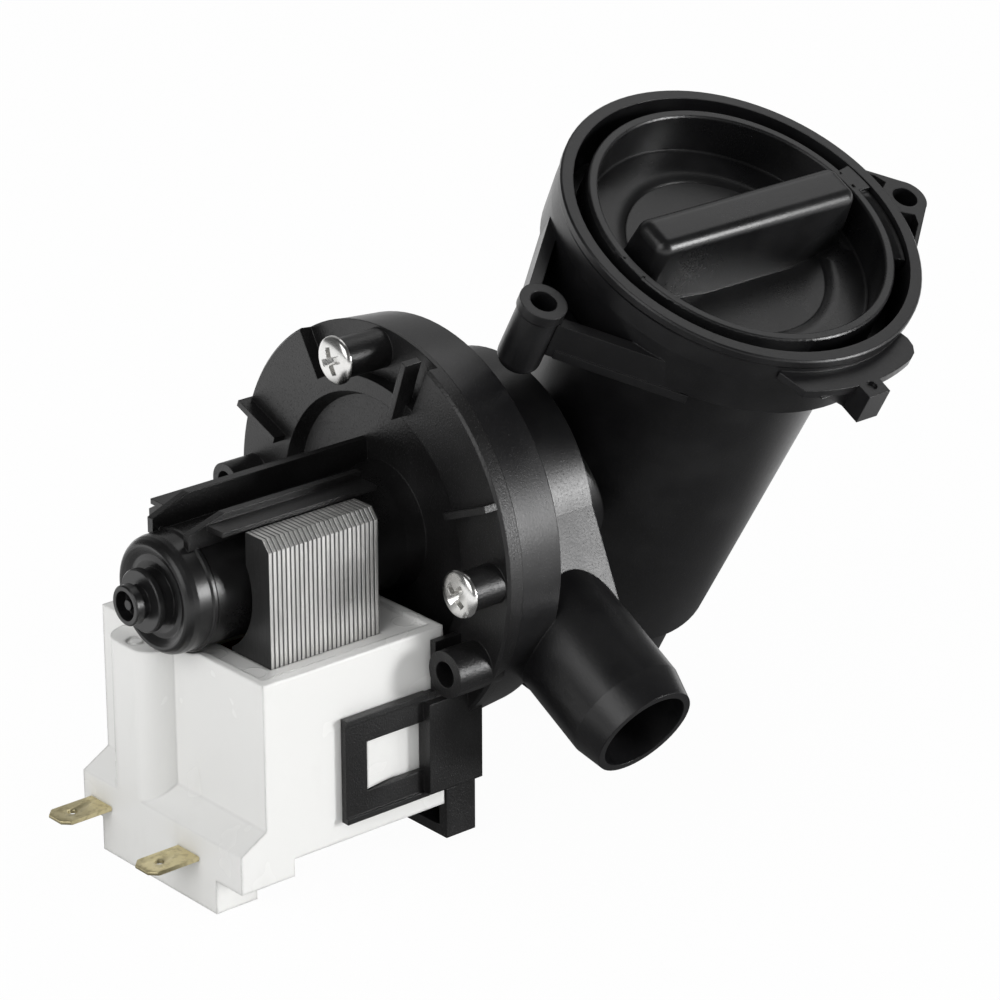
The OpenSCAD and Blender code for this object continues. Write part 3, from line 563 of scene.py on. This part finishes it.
@dataclass(frozen=True)
class PlainMoulding(Finish):
    """Natural or grey technical plastic, slightly clouded, with turning or mould marks.

    Attributes:
        cloud_colour: The colour of its clouds.
        cloud_size: The size of its clouds in metres.
        depth: The depth of the grain in metres.
        edge: The radius of the corners in metres.
    """

    cloud_colour: Triple = (0.5, 0.46, 0.36)
    cloud_size: float = 0.005
    depth: float = 0.00002
    edge: float = 0.00025

    def shade(self, graph: Graph) -> None:
        """Adds clouds, specks and grain.

        Args:
            graph: The material's graph.
        """
        cloud = graph.noise(self.cloud_size, 4.0)
        fine = graph.noise(0.0004, 2.0)
        speck = graph.noise(0.0005, 1.0).step(0.66, 0.74)
        share = cloud.step(0.4, 0.75) * 0.5 + speck * 0.3
        graph.set(
            Base_Color=graph.blend(share, self.colour, self.cloud_colour),
            Roughness=fine * 0.15 + cloud * 0.1 + (self.roughness - 0.12),
        )
        graph.relief(fine + speck * 0.5, self.depth, self.edge)


@dataclass(frozen=True)
class SinteredBlock(Finish):
    """Ground ferrite or turned carbon: dark, with bright grains and ring marks.

    Attributes:
        grain_colour: The colour of its brighter grains.
        grain: The size of the grains in metres.
        ring: The spacing of the ring marks along X, in metres.
        depth: The depth of the ring marks in metres.
    """

    grain_colour: Triple = (0.16, 0.16, 0.17)
    grain: float = 0.0003
    ring: float = 0.00035
    depth: float = 0.00002

    def shade(self, graph: Graph) -> None:
        """Adds grains and ring marks.

        Args:
            graph: The material's graph.
        """
        grain = graph.noise(self.grain, 3.0)
        cloud = graph.noise(0.003, 3.0)
        ring = abs((graph.along(ALONG_X) / self.ring).fraction() - 0.5) * 2.0
        share = grain.step(0.56, 0.7) * 0.7 + cloud.step(0.4, 0.8) * 0.2
        graph.set(
            Base_Color=graph.blend(share, self.colour, self.grain_colour),
            Metallic=grain.step(0.6, 0.75) * 0.6,
            Roughness=grain * 0.25 + (self.roughness - 0.12),
        )
        graph.relief(ring * 0.6 + grain, self.depth)


@dataclass(frozen=True)
class EnamelledWire(Finish):
    """A coil of enamelled copper wire, wound in layers along Z.

    Attributes:
        shadow: The colour between the turns.
        dark_wire: The colour of the darker turns.
        wire: The wire's diameter in metres.
        stray: How far the turns stray from their place, in metres.
    """

    shadow: Triple = (0.07, 0.018, 0.006)
    dark_wire: Triple = (0.42, 0.13, 0.04)
    wire: float = 0.00034
    stray: float = 0.0009

    def shade(self, graph: Graph) -> None:
        """Adds the turns of wire and their uneven lay.

        Args:
            graph: The material's graph.
        """
        lay = graph.noise(0.006, 3.0, (1.0, 1.0, 0.5))
        turns = (graph.along(ALONG_Z) + lay * self.stray) / self.wire
        groove = abs(turns.fraction() - 0.5).step(0.22, 0.5)
        tint = graph.noise(0.002, 3.0)
        wire = graph.blend(tint, self.colour, self.dark_wire)
        graph.set(
            Base_Color=graph.blend(groove, wire, self.shadow),
            Metallic=1.0 - groove * 0.5,
            Roughness=groove * 0.3 + tint * 0.1 + (self.roughness - 0.05),
            Coat_Weight=0.4,
        )
        graph.relief(1.0 - groove, self.wire / 2)


# Shape tools


def fresh(name: str) -> Tuple[bpy.types.Object, bmesh.types.BMesh]:
    """Starts a new piece.

    Args:
        name: The piece's name.

    Returns:
        The linked object, and an empty bmesh for its shape.
    """
    piece = bpy.data.objects.new(name, bpy.data.meshes.new(name))
    bpy.context.scene.collection.objects.link(piece)
    return piece, bmesh.new()


def poured(piece: bpy.types.Object, shape: bmesh.types.BMesh) -> bpy.types.Object:
    """Turns a shape's faces outwards and writes it to its object.

    Args:
        piece: The object.
        shape: Its shape, which is freed.

    Returns:
        The same object.
    """
    bmesh.ops.recalc_face_normals(shape, faces=shape.faces)
    shape.to_mesh(piece.data)
    shape.free()
    return piece


def settle(
    piece: bpy.types.Object,
    shape: bmesh.types.BMesh,
    material: bpy.types.Material,
    body: Body,
    crease: float = 38.0,
) -> None:
    """Ends a piece: merges its points, gives it a finish and lets it ride.

    Args:
        piece: The object.
        shape: Its shape, which is freed.
        material: Its finish.
        body: The body that it moves with.
        crease: The angle in degrees from which an edge shades sharply.
    """
    bmesh.ops.remove_doubles(shape, verts=shape.verts, dist=MERGE_DISTANCE)
    poured(piece, shape)
    piece.data.materials.append(material)
    for face in piece.data.polygons:
        face.use_smooth = True
    piece.data.set_sharp_from_angle(angle=math.radians(crease))
    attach(piece, body.value)
    log.info("piece %s: %d faces", piece.name, len(piece.data.polygons))


def spun(shape: bmesh.types.BMesh, profile: Sequence[Tuple[float, float]], steps: int) -> None:
    """Spins a profile round the Z axis.

    Args:
        shape: The empty bmesh that takes it.
        profile: Its points as radius and height, from the axis round to the axis.
        steps: How many steps the full turn has.
    """
    points = [shape.verts.new((radius, 0.0, height)) for radius, height in profile]
    edges = [shape.edges.new(pair) for pair in zip(points, points[1:])]
    bmesh.ops.spin(
        shape,
        geom=[*points, *edges],
        cent=(0.0, 0.0, 0.0),
        axis=ALONG_Z,
        angle=math.tau,
        steps=steps,
        use_merge=True,
    )
    bmesh.ops.remove_doubles(shape, verts=shape.verts, dist=MERGE_DISTANCE / 10)


def combined(piece: bpy.types.Object, other: bpy.types.Object, way: Join = Join.CUT) -> None:
    """Cuts one shape out of another, or adds it, and removes the second object.

    Args:
        piece: The object that is changed; its mesh is replaced.
        other: The second object.
        way: Whether it is cut out or added.
    """
    modifier = piece.modifiers.new(way.name, "BOOLEAN")
    modifier.operation = way.value
    modifier.solver = "EXACT"
    modifier.object = other
    bpy.context.view_layer.update()
    graph = bpy.context.evaluated_depsgraph_get()
    mesh = bpy.data.meshes.new_from_object(piece.evaluated_get(graph))
    piece.modifiers.remove(modifier)
    old = piece.data
    piece.data = mesh
    bpy.data.meshes.remove(old)
    bpy.data.objects.remove(other)


def dress(name: str, material: bpy.types.Material, frame: Dict[str, Any]) -> None:
    """Gives a CAD node a finish.

    Args:
        name: The node.
        material: The finish.
        frame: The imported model.
    """
    for slot in frame["nodes"][name].material_slots:
        slot.material = material
    log.info("node %s: %s", name, material.name)


# Sub-assemblies


@dataclass
class MotorAxes:
    """The motor's axis in the frame: X along the shaft, from the nose to the pump."""

    x0: float = -0.064
    y0: float = 0.0256926
    z0: float = -0.0457837

    def origin(self) -> Triple:
        """The flange's middle, in metres."""
        return (self.x0, self.y0, self.z0)

    def at(self, x: float, y: float, z: float) -> Vector:
        """A point of the motor, given in millimetres from the flange's middle."""
        return Vector((self.x0 + x * MM, self.y0 + y * MM, self.z0 + z * MM))

    def axis_turn(self) -> Matrix:
        """Turns local Z to point backwards along the motor's axis, to the nose."""
        return Matrix(((0.0, 0.0, -1.0), (0.0, 1.0, 0.0), (1.0, 0.0, 0.0))).to_4x4()


@dataclass
class FlangeScrews:
    """The two cross-head screws that hold the motor's flange; sizes in millimetres.

    Attributes:
        axes: The motor's axes.
        pitch_r: The radius that they stand on.
        seat_x: Where their heads sit along X.
        head_r: The head's radius.
        head_h: The head's height.
        dome_from: The share of that height at which the dome starts.
        shank_r: The shank's radius.
        shank_len: The shank's length.
        thread_pitch: The distance between two thread ridges.
        ridges: How many ridges there are.
        root: The thread's root as a share of the shank's radius.
        recess_depth: The depth of the cross recess.
        recess_top: Length and width of its wings at the top.
        recess_floor: Length and width of its wings at the floor.
        upper_turn: How far the upper screw's cross is turned, in degrees.
        side_turn: How far the other one's is.
    """

    axes: MotorAxes
    pitch_r: float = 34.0
    seat_x: float = -7.0
    head_r: float = 4.45
    head_h: float = 1.8
    dome_from: float = 0.34
    shank_r: float = 2.0
    shank_len: float = 16.0
    thread_pitch: float = 1.3
    ridges: int = 9
    root: float = 0.8
    recess_depth: float = 1.9
    recess_top: Tuple[float, float] = (6.2, 1.5)
    recess_floor: Tuple[float, float] = (2.4, 0.8)
    upper_turn: float = 22.0
    side_turn: float = 47.0

    def build(self, material: bpy.types.Material) -> None:
        """Makes the screws in place of the plain node.

        Args:
            material: Their finish.
        """
        piece, shape = fresh("flange_screws_fine")
        spots = ((0.0, self.pitch_r, self.upper_turn), (-self.pitch_r, 0.0, self.side_turn))
        for y, z, turn in spots:
            screw = self._screw(self.axes.at(self.seat_x, y, z), turn)
            shape.from_mesh(screw)
            bpy.data.meshes.remove(screw)
        settle(piece, shape, material, Body.BASE)
        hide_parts("flange_screws")

    def _screw(self, centre: Vector, turn: float) -> bpy.types.Mesh:
        """Makes one screw's mesh in its place.

        Args:
            centre: The middle of its seat.
            turn: How far its cross is turned, in degrees.

        Returns:
            The mesh.
        """
        blank, shape = fresh("screw_blank")
        r, h = self.head_r * MM, self.head_h * MM
        low = h * self.dome_from
        angles = [math.radians(12 * i) for i in range(7)]
        dome = [(r * math.cos(a), low + (h - low) * math.sin(a)) for a in angles]
        spun(shape, [*self._thread(), (r * 0.93, 0.0), (r, h * 0.12), *dome, (0.0, h)], 64)
        poured(blank, shape)
        for wing in (0.0, 90.0):
            combined(blank, self._wing(wing))
        place = self.axes.axis_turn() @ Matrix.Rotation(math.radians(turn), 4, "Z")
        blank.data.transform(Matrix.Translation(centre) @ place)
        mesh = blank.data.copy()
        bpy.data.objects.remove(blank)
        return mesh

    def _thread(self) -> List[Tuple[float, float]]:
        """The profile of the shank with its thread ridges, from the tip up to the head."""
        r = self.shank_r * MM
        root, crest, neck = r * self.root, r * 0.99, r * 0.98
        tip = -self.shank_len * MM
        points = [(0.0, tip), (r * 0.35, tip), (root, tip + 1.6 * MM)]
        for i in range(self.ridges):
            z = tip + 2.1 * MM + i * self.thread_pitch * MM
            points += [
                (root, z),
                (crest, z + 0.45 * MM),
                (crest, z + 0.6 * MM),
                (root, z + 1.05 * MM),
            ]
        return [*points, (neck, -0.6 * MM), (neck, 0.0)]

    def _wing(self, turn: float) -> bpy.types.Object:
        """The cutter of one tapered wing of the cross recess.

        Args:
            turn: The wing's turn about the screw's axis, in degrees.

        Returns:
            The cutter.
        """
        cutter, shape = fresh("cross_cutter")
        made = bmesh.ops.create_cube(shape, size=1.0)["verts"]
        for vertex in made:
            low = vertex.co.z < 0
            length, width = self.recess_floor if low else self.recess_top
            vertex.co.x *= length * MM
            vertex.co.y *= width * MM
            vertex.co.z = (self.head_h + (-self.recess_depth if low else 0.4)) * MM
        spin = Matrix.Rotation(math.radians(turn), 3, "Z")
        bmesh.ops.rotate(shape, verts=made, cent=(0.0, 0.0, 0.0), matrix=spin)
        return poured(cutter, shape)


@dataclass
class SpadeTerminal:
    """One of the two flat push-on terminals of the coil; sizes in millimetres.

    Attributes:
        thickness: The blade's thickness.
        tip: How far the corners of its tip are cut back.
        tip_bevel: The width of the bevel on the tip.
        root: Where its root starts, as a share of its length.
        hole_r: The latch hole's radius.
        hole_flare: How much wider the hole is at its top.
        hole_in: How far the hole stands from the tip.
    """

    thickness: float = 0.8
    tip: float = 1.3
    tip_bevel: float = 0.24
    root: float = 0.93
    hole_r: float = 0.85
    hole_flare: float = 1.3
    hole_in: float = 3.9

    def build(self, node: str, material: bpy.types.Material) -> None:
        """Makes the terminal in place of the plain node.

        Args:
            node: The plain node.
            material: The finish.
        """
        low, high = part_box(node)
        middle = (low + high) / 2
        root = low.x + (high.x - low.x) * self.root
        half, t, tip = (high.y - low.y) / 2, self.thickness * MM, self.tip * MM
        piece, shape = fresh(node + "_fine")
        outline = [
            (low.x, -half + tip),
            (low.x + tip, -half),
            (root, -half),
            (high.x, -half),
            (high.x, half),
            (root, half),
            (low.x + tip, half),
            (low.x, half - tip),
        ]
        verts = [shape.verts.new((x, y + middle.y, middle.z - t / 2)) for x, y in outline]
        grown = bmesh.ops.extrude_face_region(shape, geom=[shape.faces.new(verts)])["geom"]
        upper = [g for g in grown if isinstance(g, bmesh.types.BMVert)]
        bmesh.ops.translate(shape, verts=upper, vec=(0.0, 0.0, t))
        tips = [e for e in shape.edges if all(v.co.x < low.x + tip * 1.01 for v in e.verts)]
        flat = [e for e in tips if abs(e.verts[0].co.z - e.verts[1].co.z) < MERGE_DISTANCE]
        bmesh.ops.bevel(
            shape,
            geom=flat,
            offset=self.tip_bevel * MM,
            segments=2,
            profile=0.5,
            affect="EDGES",
            material=-1,
        )
        poured(piece, shape)
        combined(piece, self._hole(Vector((low.x + self.hole_in * MM, middle.y, middle.z))))
        shape = bmesh.new()
        shape.from_mesh(piece.data)
        settle(piece, shape, material, Body.BASE)
        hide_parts(node)

    def _hole(self, centre: Vector) -> bpy.types.Object:
        """The cutter of the latch hole.

        Args:
            centre: The hole's middle.

        Returns:
            A round cutter, flared at its top.
        """
        cutter, shape = fresh("hole_cutter")
        r, t = self.hole_r * MM, self.thickness * MM
        wide = r * self.hole_flare
        profile = [(0.0, -t), (r, -t), (r, t * 0.3), (wide, t * 0.52), (wide, t), (0.0, t)]
        spun(shape, profile, 24)
        bmesh.ops.translate(shape, verts=shape.verts, vec=centre)
        return poured(cutter, shape)


@dataclass
class FilterCap:
    """The screw-in cap with a well-rounded grip bar and one stop tab; sizes in millimetres.

    Heights are measured along the filter tube, from the motor's axis.

    Attributes:
        tilt: The filter tube's tilt in degrees.
        lug_h: The height of the lug faces, where the frame's origin is.
        grip_len: The grip bar's length.
        grip_w: Its width at the middle of its foot.
        grip_end_w: Its width at the ends.
        grip_top: The height of its top.
        grip_lean: How much narrower its top is on each side.
        foot_mid: Where its foot is widest, as a share of half its length.
        foot_in: How far its foot reaches into the dish's floor.
        dish_floor: The height of the dish's floor.
        round_r: The radius of the bar's upper corners.
        room: How far the block that clears the plain bar stands off it.
        core_len: The length of the hollow below the bar.
        core_w: That hollow's width.
        core_low: How far below the dish's floor it starts.
        core_top: The height of its roof.
        tab_r: The radii between which the second tab is cut away.
        tab_n: The heights between which it is.
        tab_from: Where the cut starts, in degrees about the tube's axis.
        tab_span: How far it reaches, in degrees.
        tab_steps: How many steps it has.
        crease: The angle in degrees from which the cap's edges shade sharply.
    """

    tilt: float = 29.3
    lug_h: float = 52.5
    grip_len: float = 48.6
    grip_w: float = 12.8
    grip_end_w: float = 9.6
    grip_top: float = 63.2
    grip_lean: float = 0.35
    foot_mid: float = 0.4
    foot_in: float = 0.9
    dish_floor: float = 50.5
    round_r: float = 2.5
    room: float = 0.2
    core_len: float = 40.6
    core_w: float = 5.2
    core_low: float = 3.0
    core_top: float = 60.2
    tab_r: Tuple[float, float] = (29.62, 34.0)
    tab_n: Tuple[float, float] = (55.3, 59.4)
    tab_from: float = 143.0
    tab_span: float = 49.0
    tab_steps: int = 14
    crease: float = 13.0

    def build(self, node: bpy.types.Object, material: bpy.types.Material) -> None:
        """Makes the cap in place of the plain node.

        Args:
            node: The plain node, whose mesh is copied.
            material: The finish.
        """
        cap, shape = fresh("filter_cap_fine")
        shape.from_mesh(node.data)
        shape.transform(node.matrix_world)
        bmesh.ops.remove_doubles(shape, verts=shape.verts, dist=MERGE_DISTANCE)
        shape.to_mesh(cap.data)
        shape.free()
        half = (self.grip_len / 2 + self.room, self.grip_w / 2 + self.room)
        combined(cap, self._block("old_grip", half, (self.dish_floor, self.grip_top + 1.0)))
        grip = self._grip()
        half = (self.core_len / 2, self.core_w / 2)
        heights = (self.dish_floor - self.core_low, self.core_top)
        combined(grip, self._block("grip_core", half, heights))
        combined(cap, grip, Join.ADD)
        combined(cap, self._tab_cutter())
        shape = bmesh.new()
        shape.from_mesh(cap.data)
        settle(cap, shape, material, Body.CAP, self.crease)
        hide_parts("filter_cap")

    def _place(self, piece: bpy.types.Object, shape: bmesh.types.BMesh) -> bpy.types.Object:
        """Puts a shape given in the tube's own millimetres into the frame.

        Args:
            piece: The object that takes it.
            shape: The shape, which is freed.

        Returns:
            The object.
        """
        bmesh.ops.translate(shape, verts=shape.verts, vec=(0.0, 0.0, -self.lug_h))
        bmesh.ops.scale(shape, verts=shape.verts, vec=(MM, MM, MM))
        tilt = Matrix.Rotation(math.radians(self.tilt), 3, "X")
        bmesh.ops.rotate(shape, verts=shape.verts, cent=(0.0, 0.0, 0.0), matrix=tilt)
        return poured(piece, shape)

    def _block(
        self, name: str, half: Tuple[float, float], heights: Tuple[float, float]
    ) -> bpy.types.Object:
        """A box round the tube's axis.

        Args:
            name: The object's name.
            half: Half its length and half its width.
            heights: The heights of its floor and its top.

        Returns:
            The box.
        """
        piece, shape = fresh(name)
        for vertex in bmesh.ops.create_cube(shape, size=2.0)["verts"]:
            vertex.co.x *= half[0]
            vertex.co.y *= half[1]
            vertex.co.z = heights[1] if vertex.co.z > 0 else heights[0]
        return self._place(piece, shape)

    def _grip(self) -> bpy.types.Object:
        """The grip bar: a boat-shaped foot and a top with round corners."""
        piece, shape = fresh("grip_bar")
        end, side, broad = self.grip_len / 2, self.grip_end_w / 2, self.grip_w / 2
        foot = self.dish_floor - self.foot_in
        top = self.grip_top - self.round_r
        corner_x, corner_y = end - self.round_r, side - self.round_r - self.grip_lean
        quarters = [(x, y) for x in (-1.0, 1.0) for y in (-1.0, 1.0)]
        for length, width in ((end, side), (end * self.foot_mid, broad)):
            for x, y in quarters:
                shape.verts.new((length * x, width * y, foot))
        for x, y in quarters:
            bmesh.ops.create_uvsphere(
                shape,
                u_segments=48,
                v_segments=32,
                radius=self.round_r,
                matrix=Matrix.Translation((corner_x * x, corner_y * y, top)),
            )
        bmesh.ops.delete(shape, geom=shape.edges[:], context="EDGES_FACES")
        hull = bmesh.ops.convex_hull(shape, input=shape.verts)
        inner = {g for g in hull["geom_interior"] if isinstance(g, bmesh.types.BMVert)}
        bmesh.ops.delete(shape, geom=list(inner), context="VERTS")
        return self._place(piece, shape)

    def _tab_cutter(self) -> bpy.types.Object:
        """A ring sector round the tab that the photographed cap doesn't show."""
        piece, shape = fresh("tab_cutter")
        (inner, outer), (low, high) = self.tab_r, self.tab_n
        start = math.radians(self.tab_from)
        way = Vector((math.cos(start), math.sin(start), 0.0))
        corners = ((inner, low), (outer, low), (outer, high), (inner, high))
        verts = [shape.verts.new(way * r + Vector((0.0, 0.0, n))) for r, n in corners]
        face = shape.faces.new(verts)
        bmesh.ops.spin(
            shape,
            geom=[*verts, *face.edges, face],
            cent=(0.0, 0.0, 0.0),
            axis=ALONG_Z,
            angle=math.radians(self.tab_span),
            steps=self.tab_steps,
        )
        return self._place(piece, shape)


# Studio


@dataclass(frozen=True)
class SoftBox:
    """One soft lamp.

    Attributes:
        name: The lamp's name.
        direction: Where it stands, seen from the pump.
        distance: How far away it stands, in metres.
        size: Its width and height in metres.
        radiance: How bright its face is.
    """

    name: str
    direction: Triple
    distance: float
    size: Tuple[float, float]
    radiance: float


SOFT_BOXES = (
    SoftBox("right_strip", (0.5855, -0.806, 0.087), 1.2, (0.24, 0.42), 31.0),
    SoftBox("left_soft", (-0.9, -0.22, 0.5), 1.2, (0.9, 0.9), 2.4),
    SoftBox("back_soft", (0.6, 0.15, 0.8), 1.2, (0.7, 0.7), 1.0),
)


@dataclass
class Studio:
    """Floor, world, lamps and camera.

    Attributes:
        floor_z: The height of the floor in metres.
        aim: The point that the lamps look at.
        floor_r: The floor's radius in metres.
        bright_from: How far from the pump the floor starts to brighten in reflections, in metres;
            nearer in it shows a painted shadow.
        bright_to: Where it is fully bright there.
        near_shadow_grey: The floor's grey in reflections, close to the pump: a painted shadow.
        far_grey: Its grey there, far from the pump.
        fill: The strength of the even fill.
        sky_span: The heights of direction over which the sky's gloss changes.
        sky_gloss: That gloss at the first and the second of them.
        rear_way: The direction behind the pump in which reflections see a pale patch.
        rear_span: How well a direction meets it where the patch starts and where it is full.
        rear_gloss: How bright that patch is.
        lens: The camera's focal length in millimetres.
        camera_turn: The camera's turn, rise and roll in degrees.
        camera_spot: Where it stands.
    """

    floor_z: float
    aim: Triple = (-0.045, 0.0, -0.02)
    floor_r: float = 4.0
    bright_from: float = 0.08
    bright_to: float = 0.19
    near_shadow_grey: float = 0.14
    far_grey: float = 1.15
    fill: float = 0.5
    sky_span: Tuple[float, float] = (0.3, 0.8)
    sky_gloss: Tuple[float, float] = (0.1, 0.05)
    rear_way: Triple = (0.57, 0.74, 0.35)
    rear_span: Tuple[float, float] = (0.65, 0.97)
    rear_gloss: float = 0.35
    lens: float = 155.62
    camera_turn: Triple = (-40.448, 22.055, -0.136)
    camera_spot: Triple = (-0.51536, -0.53977, 0.25247)

    def build(self) -> None:
        """Sets up the whole studio."""
        bpy.context.scene.view_settings.view_transform = "Standard"
        self._floor()
        self._world()
        for box in SOFT_BOXES:
            self._lamp(box)
        self._camera()

    def _floor(self) -> None:
        """Makes the pale floor, which keeps a faint shadow."""
        floor, shape = fresh("floor")
        bmesh.ops.create_circle(shape, cap_ends=True, radius=self.floor_r, segments=96)
        bmesh.ops.translate(shape, verts=shape.verts, vec=(0.0, 0.0, self.floor_z))
        poured(floor, shape)
        graph = Graph("studio_floor")
        graph.set(Base_Color=(0.9, 0.9, 0.9), Roughness=0.9, Specular_IOR_Level=0.1)
        seen = graph.node("ShaderNodeLightPath", {}, {}, "Is Camera Ray")
        mirrored = graph.node("ShaderNodeLightPath", {}, {}, "Is Glossy Ray")
        through = graph.node("ShaderNodeLightPath", {}, {}, "Is Transmission Ray")
        # Painted shadow: in reflections the floor is dark grey round the pump and brightens
        # further out.
        far = graph.around(ALONG_Z, self.aim).step(self.bright_from, self.bright_to)
        mirror_grey = graph.blend(far, (self.near_shadow_grey,) * 3, (self.far_grey,) * 3)
        tone = graph.blend(mirrored, WHITE, mirror_grey)
        glow = graph.node("ShaderNodeEmission", {}, {"Color": tone, "Strength": 1.0})
        share = seen * 0.97 + mirrored + through * 0.5
        mixed = graph.node("ShaderNodeMixShader", {}, {0: share, 2: glow})
        graph.tree.links.new(graph.shader.outputs[0], mixed.socket.node.inputs[1])
        output = next(n for n in graph.tree.nodes if n.type == "OUTPUT_MATERIAL")
        graph.tree.links.new(mixed.socket, output.inputs["Surface"])
        floor.data.materials.append(graph.material)
        floor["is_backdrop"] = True

    def _world(self) -> None:
        """A white background; reflections see a dim sky with a pale patch behind the pump."""
        world = bpy.data.worlds.new("studio")
        bpy.context.scene.world = world
        world.use_nodes = True
        tree = world.node_tree
        tree.nodes.clear()
        make, link = tree.nodes.new, tree.links.new
        path, place, output = (
            make(kind)
            for kind in ("ShaderNodeLightPath", "ShaderNodeTexCoord", "ShaderNodeOutputWorld")
        )
        fill, gloss, white = (make("ShaderNodeBackground") for _ in range(3))
        for background, strength in ((fill, self.fill), (gloss, 1.0), (white, 1.0)):
            background.inputs["Color"].default_value = (*WHITE, 1.0)
            background.inputs["Strength"].default_value = strength
        parts = make("ShaderNodeSeparateXYZ")
        toward = make("ShaderNodeVectorMath")
        toward.operation = "DOT_PRODUCT"
        toward.inputs[1].default_value = self.rear_way
        total = make("ShaderNodeMath")
        link(place.outputs["Generated"], parts.inputs[0])
        link(place.outputs["Generated"], toward.inputs[0])
        spans = (
            (parts.outputs["Z"], self.sky_span, self.sky_gloss),
            (toward.outputs["Value"], self.rear_span, (0.0, self.rear_gloss)),
        )
        for number, (source, span, result) in enumerate(spans):
            ranged = make("ShaderNodeMapRange")
            for index, value in enumerate((*span, *result), start=1):
                ranged.inputs[index].default_value = value
            link(source, ranged.inputs[0])
            link(ranged.outputs[0], total.inputs[number])
        link(total.outputs[0], gloss.inputs["Strength"])
        first, second = (make("ShaderNodeMixShader") for _ in range(2))
        link(path.outputs["Is Glossy Ray"], first.inputs[0])
        link(fill.outputs[0], first.inputs[1])
        link(gloss.outputs[0], first.inputs[2])
        link(path.outputs["Is Camera Ray"], second.inputs[0])
        link(first.outputs[0], second.inputs[1])
        link(white.outputs[0], second.inputs[2])
        link(second.outputs[0], output.inputs["Surface"])

    def _lamp(self, box: SoftBox) -> None:
        """Adds one soft box that looks at the pump.

        Args:
            box: The soft box.
        """
        lamp = bpy.data.lights.new(box.name, "AREA")
        lamp.shape = "RECTANGLE"
        lamp.size, lamp.size_y = box.size
        lamp.energy = box.radiance * math.pi * box.size[0] * box.size[1]
        holder = bpy.data.objects.new(box.name, lamp)
        bpy.context.scene.collection.objects.link(holder)
        way = Vector(box.direction).normalized()
        holder.location = Vector(self.aim) + way * box.distance
        holder.rotation_euler = way.to_track_quat("Z", "Y").to_euler()

    def _camera(self) -> None:
        """Adds the camera at the photo's viewing angle."""
        camera = bpy.data.cameras.new("camera")
        camera.lens = self.lens
        camera.sensor_width = 36.0
        camera.clip_start = 0.05
        holder = bpy.data.objects.new("camera", camera)
        bpy.context.scene.collection.objects.link(holder)
        turn, rise, roll = (math.radians(a) for a in self.camera_turn)
        level = math.cos(rise)
        back = Vector((math.sin(turn) * level, -math.cos(turn) * level, math.sin(rise)))
        right = Vector((math.cos(turn), math.sin(turn), 0.0))
        up = back.cross(right)
        across = right * math.cos(roll) + up * math.sin(roll)
        above = up * math.cos(roll) - right * math.sin(roll)
        spot = self.camera_spot
        holder.matrix_world = Matrix(
            [(across[i], above[i], back[i], spot[i]) for i in range(3)] + [(0.0, 0.0, 0.0, 1.0)]
        )
        bpy.context.scene.camera = holder


# The pump


FINISHES: Tuple[Finish, ...] = (
    MouldedBlack("housing_black", (0.0055, 0.0054, 0.006), 0.34, depth=0.000014),
    MouldedBlack(
        "flange_black",
        (0.006, 0.0058, 0.006),
        0.38,
        grain=0.0004,
        depth=0.00005,
        sleek_r=0.0112,
    ),
    MouldedBlack("cap_black", (0.005, 0.005, 0.0054), 0.3, depth=0.00001, edge=0.0004),
    MouldedBlack("impeller_black", (0.014, 0.014, 0.015), 0.4, edge=0.0002),
    Rubber("rubber_black", (0.014, 0.014, 0.015), 0.62),
    Rubber("seal_rubber", (0.09, 0.018, 0.012), 0.55, bloom=(0.16, 0.05, 0.035)),
    PlainMoulding("filter_grey", (0.3, 0.31, 0.32), 0.4, cloud_colour=(0.22, 0.23, 0.24)),
    PlainMoulding("natural_plastic", (0.68, 0.63, 0.5), 0.42),
    BareMetal("shaft_steel", (0.55, 0.56, 0.57), 0.22, lay=(1.0, 8.0, 8.0)),
    SinteredBlock("magnet_ferrite", (0.03, 0.03, 0.032), 0.5),
    SinteredBlock("bearing_carbon", (0.035, 0.033, 0.031), 0.4, grain_colour=(0.1, 0.1, 0.1)),
    MouldedWhite(
        "case_white",
        (0.82, 0.82, 0.805),
        0.26,
        edge=0.0009,
        pins=(
            (-0.104, 0.0203, -0.0571),
            (-0.1037, 0.0091, -0.0571),
            (-0.0696, 0.0094, -0.0571),
        ),
    ),
    EnamelledWire("winding_copper", (0.6, 0.22, 0.07), 0.3),
    BareMetal(
        "terminal_brass",
        (0.78, 0.69, 0.42),
        0.34,
        stain=(0.4, 0.33, 0.17),
        lay=(18.0, 1.0, 1.0),
        edge=0.00015,
    ),
    BareMetal(
        "screw_zinc", (0.74, 0.735, 0.72), 0.22, spots=0.06, depth=0.0000015, edge=0.0002
    ),
    SheetStack("core_steel", (0.9, 0.89, 0.87), 0.36, start=-0.100575),
)


def main() -> None:
    """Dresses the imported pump, adds its fine pieces and sets up the studio."""
    logging.basicConfig(level=logging.INFO, format="%(message)s")
    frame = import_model()
    cad_box = [list(corner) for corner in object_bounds()]
    Studio(floor_z=cad_box[0][2] - 0.2 * MM).build()

    finishes = {finish.name: finish.make() for finish in FINISHES}
    for part in frame["record"]["subparts"]:
        dress(part["node"], finishes[part["material_slot"]], frame)

    FlangeScrews(MotorAxes()).build(finishes["screw_zinc"])
    for node in ("spade_terminal_near", "spade_terminal_far"):
        SpadeTerminal().build(node, finishes["terminal_brass"])
    FilterCap().build(frame["nodes"]["filter_cap"], finishes["cap_black"])


if __name__ == "__main__":
    main()
